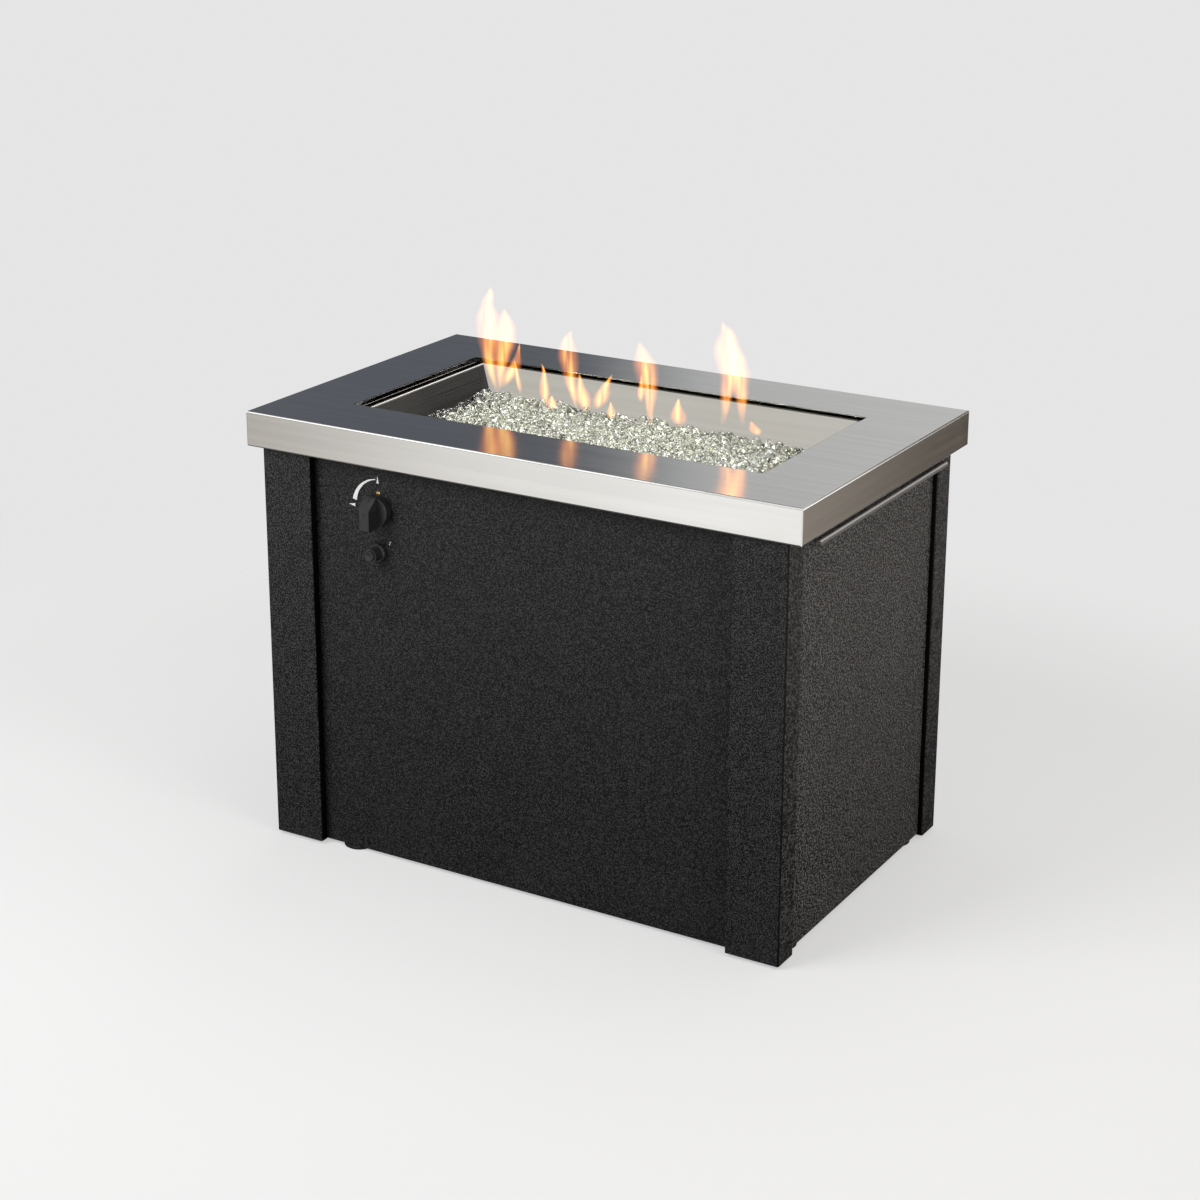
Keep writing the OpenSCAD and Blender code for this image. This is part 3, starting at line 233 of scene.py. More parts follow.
class ShaderTree:
    """The node tree of a material or a world. Every node comes from its node method."""

    def __init__(self, owner):
        owner.use_nodes = True
        self.tree = owner.node_tree
        self.tree.nodes.clear()

    def node(self, kind, settings=None, values=None, out=0):
        made = self.tree.nodes.new(kind)
        for name, setting in (settings or {}).items():
            if name == "stops":
                self.set_stops(made.color_ramp.elements, setting)
            elif name == "points":
                self.set_points(made.mapping, setting)
            else:
                setattr(made, name, setting)
        for name, value in (values or {}).items():
            if isinstance(value, Socket):
                self.tree.links.new(value.socket, made.inputs[name])
            else:
                made.inputs[name].default_value = value
        return Socket(self, made.outputs[out]) if made.outputs else made

    @staticmethod
    def set_stops(elements, stops):
        for i, (place, color) in enumerate(stops):
            stop = elements[i] if i < 2 else elements.new(place)
            stop.position = place
            stop.color = (*color, 1)

    @staticmethod
    def set_points(mapping, points):
        curve = mapping.curves[0]
        for i, (place, value) in enumerate(points):
            if i < 2:
                curve.points[i].location = (place, value)
            else:
                curve.points.new(place, value)
        mapping.update()

    def curve(self, value, points):
        return self.node("ShaderNodeFloatCurve", {"points": points}, {"Value": value})

    def math(self, operation, *terms):
        return self.node("ShaderNodeMath", {"operation": operation}, dict(enumerate(terms)))

    def smooth(self, value, low, high):
        settings = {"interpolation_type": "SMOOTHSTEP", "clamp": True}
        return self.node("ShaderNodeMapRange", settings, {"Value": value, "From Min": low, "From Max": high})

    def blend(self, share, first, second):
        first, second = (c if isinstance(c, Socket) else (*c, 1) for c in (first, second))
        return self.node("ShaderNodeMix", {"data_type": "RGBA"}, {0: share, 6: first, 7: second}, out=2)

    def axes(self, vector):
        split = self.node("ShaderNodeSeparateXYZ", None, {0: vector})
        return split.out("X"), split.out("Y"), split.out("Z")


class Finish(ShaderTree):
    """A material with one Principled shader, patterned on the piece's own coordinates."""

    def __init__(self, name):
        self.material = bpy.data.materials.new(name)
        super().__init__(self.material)
        self.place = self.node("ShaderNodeTexCoord", out="Object")

    def stretched(self, scale):
        return self.node("ShaderNodeMapping", None, {"Vector": self.place, "Scale": scale})

    def noise(self, scale, detail, vector=None, roughness=0.5):
        values = {"Vector": vector or self.place, "Scale": scale, "Detail": detail, "Roughness": roughness}
        return self.node("ShaderNodeTexNoise", None, values)

    def cells(self, scale, feature="F1"):
        return self.node("ShaderNodeTexVoronoi", {"feature": feature}, {"Vector": self.place, "Scale": scale})

    def bump(self, height, distance, strength):
        values = {"Height": height, "Distance": distance, "Strength": strength}
        return self.node("ShaderNodeBump", None, values)

    def fade(self, value, face, depths):
        """0 at the first depth below a face and 1 at the second."""
        return self.smooth(value, face - depths[0], face - depths[1])

    def principled(self, values):
        shader = self.node("ShaderNodeBsdfPrincipled", None, values)
        self.node("ShaderNodeOutputMaterial", None, {"Surface": shader})
        return self.material


def shaded(color, share):
    """The colour at a share of its brightness."""
    return tuple(share * c for c in color)


def dress(names, material):
    """Gives the CAD nodes of these names a material."""
    for name in names:
        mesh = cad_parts[name].data
        mesh.materials.clear()
        mesh.materials.append(material)


def piece_from(bm, name, material, smooth=True):
    """Makes a bmesh an object at the origin."""
    mesh = bpy.data.meshes.new(name)
    for face in bm.faces:
        face.smooth = smooth
    bm.to_mesh(mesh)
    bm.free()
    mesh.materials.append(material)
    made = bpy.data.objects.new(name, mesh)
    bpy.context.scene.collection.objects.link(made)
    return made


def lit_only(name, objects):
    """The collection of the objects that a lamp lights."""
    made = bpy.data.collections.new(name)
    for item in objects:
        made.objects.link(item)
    return made


def soft_light(name, place, target, size, power, color, mirrored=True, receivers=None):
    """An area lamp that is out of the camera's sight."""
    light = bpy.data.lights.new(name, "AREA")
    light.shape = "RECTANGLE"
    light.size, light.size_y = size
    light.energy = power
    light.color = color
    made = bpy.data.objects.new(name, light)
    made.location = place
    made.rotation_euler = (Vector(target) - Vector(place)).to_track_quat("-Z", "Y").to_euler()
    made.visible_camera = False
    made.visible_glossy = mirrored
    made.light_linking.receiver_collection = receivers
    bpy.context.scene.collection.objects.link(made)


# Brush marks as noise: counts in a metre across and along them, and detail
FINE_BRUSH = (620, 9, 2.0)
BROAD_BRUSH = (90, 2.2, 3.0)
BRUSH_DEPTH = 0.00012
# Steel warmed by the fire, and how much of it the top and the pan show
HEAT_COLOR = (0.62, 0.47, 0.33)
TOP_WARMTH = 0.03
PAN_WARMTH = 0.12
# Depths below the top's ends between which the brush marks turn
APRON_FADE = (0.0016, 0.0008)
# Widths of the gutter round the pan's rim, along its ends and along its sides
GUTTER_END = 0.010
GUTTER_SIDE = 0.003
# Half the width of the change at the pan's mitred corners, and depths below the rim where the shade sets in
MITRE_FADE = 0.0005
RIM_FADE = (0.0010, 0.0020)
PAN_SHADE = 0.88
SHADE_COLOR = (0.02, 0.02, 0.02)


class Brushed(Finish):
    """Stainless with the brush marks along X, and along Y where a mask says that the sheet faces an end."""

    def finished(self, color, roughness, warmth, on_end, in_shade=None):
        fine = self.brush_marks(FINE_BRUSH, on_end)
        band = self.brush_marks(BROAD_BRUSH, on_end)
        smudge = self.noise(5.5, 4.0)
        tone = self.blend(self.smooth(band, 0.3, 0.72), shaded(color, 0.93), color)
        tone = self.blend(self.smooth(smudge, 0.45, 0.8) * warmth, tone, HEAT_COLOR)
        if in_shade:
            tone = self.blend(in_shade, tone, SHADE_COLOR)
        blur = 0.07 * (band - 0.5) + 0.06 * (fine - 0.5) + 0.05 * self.smooth(smudge, 0.5, 0.75)
        return self.principled({
            "Base Color": tone,
            "Metallic": 1.0,
            "Roughness": roughness + blur,
            "Normal": self.bump(fine * 0.7 + band * 0.3, BRUSH_DEPTH, 0.5),
        })

    def brush_marks(self, brush, on_end):
        across, along, detail = brush
        on_long = self.noise(1.0, detail, self.stretched((along, across, across)))
        on_short = self.noise(1.0, detail, self.stretched((across, along, across)))
        return on_long * (1 - on_end) + on_short * on_end


def top_steel(settings):
    """The top's brush marks turn on its two short aprons."""
    f = Brushed("brushed_stainless")
    x = f.axes(f.place)[0]
    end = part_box("table_top")[1].x
    on_end = f.fade(abs(x), end, APRON_FADE)
    return f.finished(tuple(settings.color), settings.roughness, TOP_WARMTH, on_end)


def pan_steel(settings):
    """The pan's brush marks turn on its end walls, and its left wall lies in the shade."""
    f = Brushed("pan_stainless")
    x, y, z = f.axes(f.place)
    low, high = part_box("burner_pan")
    middle = (low.x + high.x) / 2
    # nearer the ends than the sides, counted from the rim, so that the change falls on the mitred corners
    to_end = high.x - middle - GUTTER_END - abs(x - middle)
    to_side = high.y - GUTTER_SIDE - abs(y)
    on_end = f.smooth(to_side - to_end, -MITRE_FADE, MITRE_FADE)
    left = on_end * f.fade(z, high.z, RIM_FADE) * f.smooth(middle - x, 0.0, 0.01)
    return f.finished(tuple(settings.pan_color), settings.pan_roughness, PAN_WARMTH, on_end, PAN_SHADE * left)


# Tints of the coat on the faces to the front and on those to the right; the warm one is painted warm light
COOL_TINT = (1.0, 1.0, 1.0)
WARM_LIGHT_TINT = (1.05, 1.0, 0.92)
# Contrast of the grain on panels and legs, and contrast and coarseness on the faces to the right
PANEL_CONTRAST = 0.6
LEG_CONTRAST = 0.85
# The stronger contrast on the faces to the right is painted glints of the light that grazes them
LIT_RIGHT_CONTRAST = 2.6
RIGHT_COARSE = 1.3
# Brightness of the painted light on the door, and on the legs' faces to the right
DOOR_LIGHT_TONE = 1.05
LEG_SIDE_LIGHT_TONE = 0.5
# The dimples are longer along Y than along X and Z
HAMMER_STRETCH = (1, 0.62, 1)
COAT_SPECULAR = 0.16
# Dust fades out at this height above the floor
DUST_HEIGHT = 0.16
DUST_COLOR = (0.10, 0.095, 0.085)
# Depths below the legs' faces between which a face changes, and between which shade is painted on its folded
# returns and along its corner
FACE_FADE = (0.0004, 0.0012)
RETURN_FADE = (0.0010, 0.0018)
CORNER_SHADE_FADE = (0.0022, 0.0014)
# Share of the painted shade along the corner, and the painted shade's colour
CORNER_SHADE_SHARE = 0.9
PAINTED_SHADE_COLOR = (0.0004, 0.0004, 0.0004)
# The door's lip: depths from its edge and from its top between which a highlight is painted on it, and that
# painted highlight's share and colours
LIP_HIGHLIGHT_FADE = (0.004, 0.001)
LIP_EDGE_HIGHLIGHT_FADE = (0.0022, 0.0010)
LIP_HIGHLIGHT_SHARE = 0.85
LIP_HIGHLIGHT_COLOR = (0.15, 0.145, 0.14)
LIP_EDGE_HIGHLIGHT_COLOR = (0.42, 0.41, 0.40)


class Coat(Finish):
    """Hammered powder coat, to which a piece adds painted shade on its returns and painted highlights on its
    edges.
    """

    def __init__(self, name, settings, contrast, tint=COOL_TINT, tone=1.0, coarse=1.0):
        super().__init__(name)
        self.settings = settings
        self.dimples = self.hammered(1.0)
        self.clouds = self.noise(7.0, 3.0)
        self.color = self.speckle(tint, tone, contrast, coarse)

    def hammered(self, coarse):
        return self.noise(1 / (coarse * self.settings.hammer_size), 1.0, self.stretched(HAMMER_STRETCH), 0.6)

    def speckle(self, tint, tone, contrast, coarse):
        """Colour of the coat: dark between the dimples' pale tops, and dusty near the floor."""
        contrast *= self.settings.contrast
        color = [tone * t * c for t, c in zip(tint, self.settings.color)]
        dark = shaded(color, 1 - min(0.95, contrast))
        pale = shaded(color, 1 + 5 * contrast)
        grain = self.blend(self.smooth(self.hammered(coarse), 0.44, 0.66), dark, pale)
        z = self.axes(self.place)[2]
        dust = 0.05 * self.smooth(z, DUST_HEIGHT, 0.0) * self.smooth(self.clouds, 0.35, 0.7)
        return self.blend(dust, grain, DUST_COLOR)

    def finished(self):
        grain = self.noise(2.6 / self.settings.hammer_size, 1.0)
        pits = self.cells(0.62 / self.settings.hammer_size)
        relief = self.dimples + 0.35 * pits + 0.2 * grain
        return self.principled({
            "Base Color": self.color,
            "Roughness": self.settings.roughness + 0.16 * (self.clouds - 0.5) + 0.12 * (grain - 0.5),
            "Specular IOR Level": COAT_SPECULAR,
            "Normal": self.bump(relief, self.settings.hammer_depth, 0.9),
        })


def panel_coat(settings):
    return Coat("hammered_black_coat", settings, PANEL_CONTRAST).finished()


def leg_coat(settings):
    """The coat with a coarser grain and painted warm light to the right, painted shade along the corner, and
    painted shade on the folded returns.
    """
    f = Coat("leg_coat", settings, LEG_CONTRAST)
    x, y, _ = f.axes(f.place)
    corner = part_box("leg_back_right")[1]
    side, front = corner.x - abs(x), corner.y - abs(y)
    on_right = f.smooth(corner.x - x, *reversed(FACE_FADE)) * f.smooth(front, *FACE_FADE)
    # the faces to the right take a copy of the coat with painted warm light and painted glints
    f.color = f.blend(on_right, f.color, f.speckle(WARM_LIGHT_TINT, LEG_SIDE_LIGHT_TONE, LIT_RIGHT_CONTRAST, RIGHT_COARSE))
    # painted shade on the folded returns, which lie deeper than both faces, and along the outer corner
    return_shade = f.smooth(f.math("MINIMUM", side, front), *RETURN_FADE)
    corner_shade = f.smooth(f.math("MAXIMUM", side, front), *CORNER_SHADE_FADE)
    f.color = f.blend(f.math("MAXIMUM", return_shade, CORNER_SHADE_SHARE * corner_shade), f.color, PAINTED_SHADE_COLOR)
    return f.finished()


def door_coat(settings):
    """The coat with a coarse grain and painted warm light, and a highlight painted pale on the door's lip."""
    # the door takes the copy of the coat with painted warm light and painted glints
    f = Coat("door_coat", settings, LIT_RIGHT_CONTRAST, WARM_LIGHT_TINT, DOOR_LIGHT_TONE, RIGHT_COARSE)
    x, _, z = f.axes(f.place)
    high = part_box("access_door")[1]
    # a highlight painted pale on the front of the lip, and a brighter one along its top edge
    lip_highlight = f.fade(x, high.x, LIP_HIGHLIGHT_FADE)
    edge = f.fade(z, high.z, LIP_EDGE_HIGHLIGHT_FADE)
    f.color = f.blend(LIP_HIGHLIGHT_SHARE * lip_highlight * f.smooth(f.dimples, 0.2, 0.5), f.color, LIP_HIGHLIGHT_COLOR)
    f.color = f.blend(lip_highlight * edge, f.color, LIP_EDGE_HIGHLIGHT_COLOR)
    return f.finished()


def plated_steel():
    f = Finish("zinc_plate")
    dark, bright, cloudy = (0.47, 0.48, 0.5), (0.56, 0.57, 0.58), (0.42, 0.42, 0.43)
    spangle = f.cells(420)
    clouds = f.noise(60, 3.0)
    tone = f.blend(f.smooth(spangle.out("Distance"), 0.1, 0.6), dark, bright)
    return f.principled({
        "Base Color": f.blend(f.smooth(clouds, 0.45, 0.75), tone, cloudy),
        "Metallic": 1.0,
        "Roughness": 0.3 + 0.22 * (clouds - 0.3),
        "Normal": f.bump(clouds, 0.0001, 0.4),
    })


def machined_brass():
    f = Finish("machined_brass")
    bright, tarnished = (0.74, 0.50, 0.20), (0.45, 0.27, 0.10)
    turning = f.noise(1.0, 2.0, f.stretched((700, 60, 700)))
    tarnish = f.noise(140, 3.0)
    return f.principled({
        "Base Color": f.blend(f.smooth(tarnish, 0.45, 0.75), bright, tarnished),
        "Metallic": 1.0,
        "Roughness": 0.2 + 0.2 * tarnish,
        "Normal": f.bump(turning, 0.00006, 0.5),
    })


def moulded_plastic():
    f = Finish("black_plastic")
    black = (0.011, 0.011, 0.0115)
    grain = f.noise(2400, 1.0)
    handling = f.noise(90, 3.0)
    return f.principled({
        "Base Color": f.blend(f.smooth(handling, 0.4, 0.8), black, shaded(black, 1.7)),
        "Roughness": 0.36 + 0.15 * (handling - 0.5),
        "Normal": f.bump(grain, 0.00008, 0.4),
    })


def hose_rubber():
    f = Finish("black_rubber")
    black, chalky = (0.018, 0.018, 0.018), (0.05, 0.048, 0.045)
    grain = f.noise(900, 2.0)
    chalk = f.noise(45, 3.0)
    return f.principled({
        "Base Color": f.blend(f.smooth(chalk, 0.45, 0.8), black, chalky),
        "Roughness": 0.6 + 0.2 * chalk,
        "Normal": f.bump(grain, 0.0002, 0.5),
    })


def glazed_ceramic():
    f = Finish("white_ceramic")
    white, sooty = (0.85, 0.83, 0.78), (0.30, 0.25, 0.2)
    soot = f.noise(160, 3.0)
    return f.principled({
        "Base Color": f.blend(0.5 * f.smooth(soot, 0.5, 0.8), white, sooty),
        "Roughness": 0.25 + 0.2 * soot,
        "Coat Weight": 0.4,
    })


class FIREPIT_OT_steel(bpy.types.Operator):
    """Brush the stainless top and the burner pan"""

    bl_idname = "firepit.steel"
    bl_label = "Brush Steel"

    def execute(self, context):
        s = context.scene.firepit_steel
        dress(STEEL_TOP, top_steel(s))
        dress(STEEL_PAN, pan_steel(s))
        return {"FINISHED"}


class FIREPIT_OT_cabinet(bpy.types.Operator):
    """Coat the legs, panels, door and inner frame with hammered black powder"""

    bl_idname = "firepit.cabinet"
    bl_label = "Coat Cabinet"

    def execute(self, context):
        s = context.scene.firepit_coat
        dress(COATED, panel_coat(s))
        dress(LEGS, leg_coat(s))
        dress(DOOR, door_coat(s))
        return {"FINISHED"}


class FIREPIT_OT_hardware(bpy.types.Operator):
    """Plate the burner, gas train and screws"""

    bl_idname = "firepit.hardware"
    bl_label = "Plate Hardware"

    def execute(self, context):
        dress(ZINC, plated_steel())
        dress(BRASS, machined_brass())
        dress(RUBBER, hose_rubber())
        dress(CERAMIC, glazed_ceramic())
        return {"FINISHED"}


class FIREPIT_OT_controls(bpy.types.Operator):
    """Mould the knob, igniter, coupling and feet"""

    bl_idname = "firepit.controls"
    bl_label = "Mould Controls"

    def execute(self, context):
        dress(PLASTIC, moulded_plastic())
        return {"FINISHED"}


# Glass: the colour and share of the shade painted in its rims, and its colour in its clearest places
RIM_SHADE_COLOR = (0.10, 0.12, 0.09)
RIM_SHADE = 0.75
CLEAREST = (0.98, 0.985, 0.96)
GLASS_INDEX = 1.5
# Facets in a metre of the bed
BED_FACETS = 120
BED_RELIEF = 0.003
# The heap: its climb up the walls beyond the plain solid, its level above the solid's foot, and its swell
WALL_CLIMB = 0.004
HEAP_LEVEL = 0.0265
HEAP_CROWN = 0.005
HEAP_WAVE = 0.003
WAVE_SCALE = 16
WAVE_SLICE = 3.1
# Nuggets: spread of widths and of the three axes, nudge off their places in pitches, lift and depth of dents
NUGGET_WIDTHS = (0.78, 1.14)
NUGGET_AXES = ((0.82, 1.0), (0.82, 1.0), (0.68, 0.9))
NUGGET_NUDGE = 0.3
NUGGET_LIFT = (-0.003, 0.0048)
NUGGET_DENT = 0.0003
# Dents of the nuggets and ripples of the bed in a metre
DENT_SCALE = 130
# Distance of the rows, in pitches, and how deep each layer lies
ROW_STEP = 0.866
LAYERS = (0.0, 0.008)
# The bed below the nuggets: depth, inset, ripple, grid, and how far its skirt draws in towards the foot
BED_DEPTH = 0.009
BED_INSET = 0.001
BED_RIPPLE = 0.0016
BED_GRID = (70, 32)
SKIRT_TAPER = (0.97, 0.93)
# The light that glints in the nuggets
GLINT_PLACE = (-0.7, 0.9, 2.2)
GLINT_TARGET = (0, 0, 0.55)
GLINT_SIZE = (1.0, 1.0)
WHITE_LIGHT = (1.0, 1.0, 1.0)


def clear_glass(settings):
    """Clear glass that lets plain light through to the nuggets below, with shade painted dark in its rims."""
    f = Finish("clear_glass")
    tint = f.noise(70, 2.0)
    ray = f.node("ShaderNodeLightPath", out="Is Shadow Ray")
    passing = f.math("MAXIMUM", ray, ray.out("Is Diffuse Ray"))
    clear = f.blend(f.smooth(tint, 0.4, 0.7), tuple(settings.color), CLEAREST)
    # painted shade in the rims, where the glass is seen edge on
    rim = f.smooth(f.node("ShaderNodeLayerWeight", None, {"Blend": 0.5}, out="Facing"), 0.45, 0.95)
    return f.principled({
        "Base Color": f.blend(RIM_SHADE * rim, clear, RIM_SHADE_COLOR),
        "Roughness": 0.01 + 0.02 * tint,
        "IOR": GLASS_INDEX,
        "Transmission Weight": 1.0,
        "Alpha": 1 - 0.9 * passing,
    })


def deep_glass(settings):
    """What shows of the nuggets below the top layer: facets mottled with painted glints, and painted shade in
    the gaps between them.
    """
    f = Finish("deep_glass")
    facet = f.cells(BED_FACETS)
    gap_shade = f.cells(BED_FACETS, "DISTANCE_TO_EDGE")
    glint = f.noise(210, 2.0)
    color = tuple(settings.bed_color)
    # painted glints mottle the facets pale, and painted shade darkens the gaps between them
    pale = f.blend(f.smooth(glint, 0.42, 0.58), shaded(color, 0.5), color)
    return f.principled({
        "Base Color": f.blend(f.smooth(gap_shade.out("Distance"), 0.03, 0.2), shaded(color, 0.08), pale),
        "Roughness": 0.12 + 0.2 * glint,
        "Coat Weight": 0.6,
        "Normal": f.bump(facet.out("Distance"), BED_RELIEF, 0.7),
    })


class Heap:
    """The glass heap's extent and upper surface."""

    def __init__(self, settings):
        low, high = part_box("fire_glass")
        self.foot = low.z
        self.level = low.z + HEAP_LEVEL
        self.half = Vector((high.x + WALL_CLIMB, high.y + WALL_CLIMB))
        self.tilt = settings.tilt

    def height(self, x, y):
        u, v = x / self.half.x, y / self.half.y
        crown = HEAP_CROWN * (1 - u * u) * (1 - v * v)
        wave = HEAP_WAVE * noise.noise(Vector((x * WAVE_SCALE, y * WAVE_SCALE, WAVE_SLICE)))
        return self.level + crown + wave + 0.5 * self.tilt * (0.5 * v - u)

    def inside(self, x, y, reach):
        """The nearest place to x, y that keeps a nugget within the heap."""
        across, deep = self.half.x - reach, self.half.y - reach
        return max(-across, min(across, x)), max(-deep, min(deep, y))


def nugget_row(settings, heap, rng, places, sink):
    """Mesh of a row of nuggets at these places, each turned, squashed and dented at random."""
    row = bmesh.new()
    for x, y in places:
        reach = 0.5 * settings.nugget * rng.uniform(*NUGGET_WIDTHS)
        x += rng.uniform(-NUGGET_NUDGE, NUGGET_NUDGE) * settings.pitch
        y += rng.uniform(-NUGGET_NUDGE, NUGGET_NUDGE) * settings.pitch
        lift = rng.uniform(*NUGGET_LIFT)
        turn = Euler([rng.uniform(0, math.tau) for _ in range(3)])
        axes = Vector([rng.uniform(*spread) for spread in NUGGET_AXES])
        x, y = heap.inside(x, y, reach)
        spot = Matrix.LocRotScale(Vector((x, y, heap.height(x, y) + lift - sink)), turn, axes)
        bmesh.ops.create_icosphere(row, subdivisions=2, radius=reach, matrix=spot)
    for vert in row.verts:
        vert.co += NUGGET_DENT * noise.noise_vector(vert.co * DENT_SCALE)
    mesh = bpy.data.meshes.new("row")
    row.to_mesh(mesh)
    row.free()
    return mesh


def glass_nuggets(settings, heap):
    """Layers of nuggets in staggered rows. Each row is made by itself, which keeps the operators quick."""
    rng = random.Random(settings.seed)
    # without a seed the vectors of this noise change from run to run
    noise.seed_set(settings.seed)
    half = heap.half
    rows = int(2 * half.y / (settings.pitch * ROW_STEP))
    columns = int(2 * half.x / settings.pitch)
    bm = bmesh.new()
    for layer, sink in enumerate(LAYERS):
        for j in range(rows + 1):
            y = -half.y + 2 * half.y * j / rows
            stagger = 0.5 * ((j + layer) % 2)
            places = [(-half.x + 2 * half.x * (i + stagger) / columns, y) for i in range(columns + 1)]
            row = nugget_row(settings, heap, rng, places, sink)
            bm.from_mesh(row)
            bpy.data.meshes.remove(row)
    return piece_from(bm, "glass_nuggets", clear_glass(settings))


def glass_bed(settings, heap):
    """The bed below the nuggets, with glints and shade painted on it: a rippled sheet with a skirt down to
    the heap's foot.
    """
    bm = bmesh.new()
    bmesh.ops.create_grid(bm, x_segments=BED_GRID[0], y_segments=BED_GRID[1], size=1)
    for vert in bm.verts:
        x, y = vert.co.x * (heap.half.x - BED_INSET), vert.co.y * (heap.half.y - BED_INSET)
        ripple = BED_RIPPLE * noise.noise(Vector((x * DENT_SCALE, y * DENT_SCALE, 0)))
        vert.co = (x, y, heap.height(x, y) - BED_DEPTH + ripple)
    rim = [e for e in bm.edges if e.is_boundary]
    skirt = bmesh.ops.extrude_edge_only(bm, edges=rim)["geom"]
    for vert in skirt:
        if isinstance(vert, bmesh.types.BMVert):
            vert.co = (vert.co.x * SKIRT_TAPER[0], vert.co.y * SKIRT_TAPER[1], heap.foot)
    bmesh.ops.holes_fill(bm, edges=[e for e in bm.edges if e.is_boundary], sides=0)
    bmesh.ops.recalc_face_normals(bm, faces=bm.faces)
    return piece_from(bm, "glass_bed", deep_glass(settings))


class FIREPIT_OT_glass(bpy.types.Operator):
    """Heap clear glass nuggets over the burner tube"""

    bl_idname = "firepit.glass"
    bl_label = "Heap Fire Glass"

    def execute(self, context):
        s = context.scene.firepit_glass
        heap = Heap(s)
        nuggets = glass_nuggets(s, heap)
        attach(nuggets, TABLE_BODY)
        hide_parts("fire_glass")
        receivers = lit_only("glass_lit", [nuggets])
        soft_light("glass_light", GLINT_PLACE, GLINT_TARGET, GLINT_SIZE, s.glint_power, WHITE_LIGHT,
                   receivers=receivers)
        bed = glass_bed(s, heap)
        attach(bed, TABLE_BODY)
        return {"FINISHED"}


# Marks on the panel: the wedge's place, its turn, and how it widens inwards towards a full turn
WEDGE_GAP = 0.005
WEDGE_START = -0.0035
WEDGE_TURN = math.radians(72)
WEDGE_FULL_TURN = math.radians(77)
WEDGE_STEPS = 28
WEDGE_LINE = 0.001
WEDGE_LEAST = 0.0008
WEDGE_GROWTH = 0.0056
WEDGE_CURVE = 1.2
# The pointer above the knob, by half width and length, and the one to its left, by length and heights
UP_HALF = 0.0018
UP_LENGTH = 0.0105
LEFT_LENGTH = 0.0095
LEFT_TIP = 0.001
LEFT_EDGES = (0.0032, -0.0012)
# The spark sign beside the igniter, a small bolt, and its place from the knob's axis
BOLT_PLACE = (0.0150, -0.0466)
BOLT = (
    (0, 0), (0.0034, 0.0030), (0.0026, 0.0036), (0.0052, 0.0068), (0.0016, 0.0042), (0.0024, 0.0034),
)


def panel_ink(color):
    f = Finish("white_print")
    worn = f.noise(900, 2.0)
    return f.principled({
        "Base Color": f.blend(f.smooth(worn, 0.35, 0.6), shaded(color, 0.8), color),
        "Roughness": 0.5 + 0.2 * worn,
    })


def flat_mark(bm, axis, points):
    """A flat face from points to the right of the knob's axis and above it."""
    bm.faces.new([bm.verts.new(axis + Vector((x, 0, z))) for x, z in points])


def wedge_mark(bm, axis, outer):
    """An edge spun from the top to the left, then widened inwards."""
    first = [bm.verts.new(axis + Vector((WEDGE_START, 0, z))) for z in (outer, outer - WEDGE_LINE)]
    edge = bm.edges.new(first)
    bmesh.ops.spin(
        bm, geom=first + [edge], cent=axis, axis=(0, 1, 0), dvec=(0, 0, 0), angle=-WEDGE_TURN,
        steps=WEDGE_STEPS, use_merge=False, use_duplicate=False)
    for vert in bm.verts:
        arm = vert.co - axis
        turned = math.atan2(-arm.x, arm.z) / WEDGE_FULL_TURN
        if arm.length < outer - WEDGE_LINE / 2:
            vert.co = axis + arm.normalized() * (outer - WEDGE_LEAST - WEDGE_GROWTH * turned ** WEDGE_CURVE)


def give_thickness(bm, thickness):
    """Turns the marks to the front and gives them the ink's thickness."""
    bmesh.ops.recalc_face_normals(bm, faces=bm.faces)
    for face in bm.faces:
        if face.normal.y > 0:
            face.normal_flip()
    lifted = bmesh.ops.extrude_face_region(bm, geom=list(bm.faces))["geom"]
    raised = [v for v in lifted if isinstance(v, bmesh.types.BMVert)]
    bmesh.ops.translate(bm, vec=(0, -thickness, 0), verts=raised)
    bmesh.ops.recalc_face_normals(bm, faces=bm.faces)


class FIREPIT_OT_print(bpy.types.Operator):
    """Print the flame-size wedge and its two pointers round the knob, and the spark sign"""

    bl_idname = "firepit.print"
    bl_label = "Print Marks"

    def execute(self, context):
        s = context.scene.firepit_print
        low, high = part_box("control_knob")
        axis = Vector(((low.x + high.x) / 2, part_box("front_panel")[0].y, (low.z + high.z) / 2))
        bm = bmesh.new()
        wedge_mark(bm, axis, s.reach - WEDGE_GAP)
        up_base = s.reach - UP_LENGTH
        flat_mark(bm, axis, [(-UP_HALF, up_base), (UP_HALF, up_base), (0.0, s.reach)])
        left_base = LEFT_LENGTH - s.reach
        flat_mark(bm, axis, [(-s.reach, LEFT_TIP), *((left_base, z) for z in LEFT_EDGES)])
        flat_mark(bm, axis, [(BOLT_PLACE[0] + x, BOLT_PLACE[1] + z) for x, z in BOLT])
        give_thickness(bm, s.thickness)
        marks = piece_from(bm, "panel_print", panel_ink(tuple(s.color)), smooth=False)
        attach(marks, TABLE_BODY)
        return {"FINISHED"}


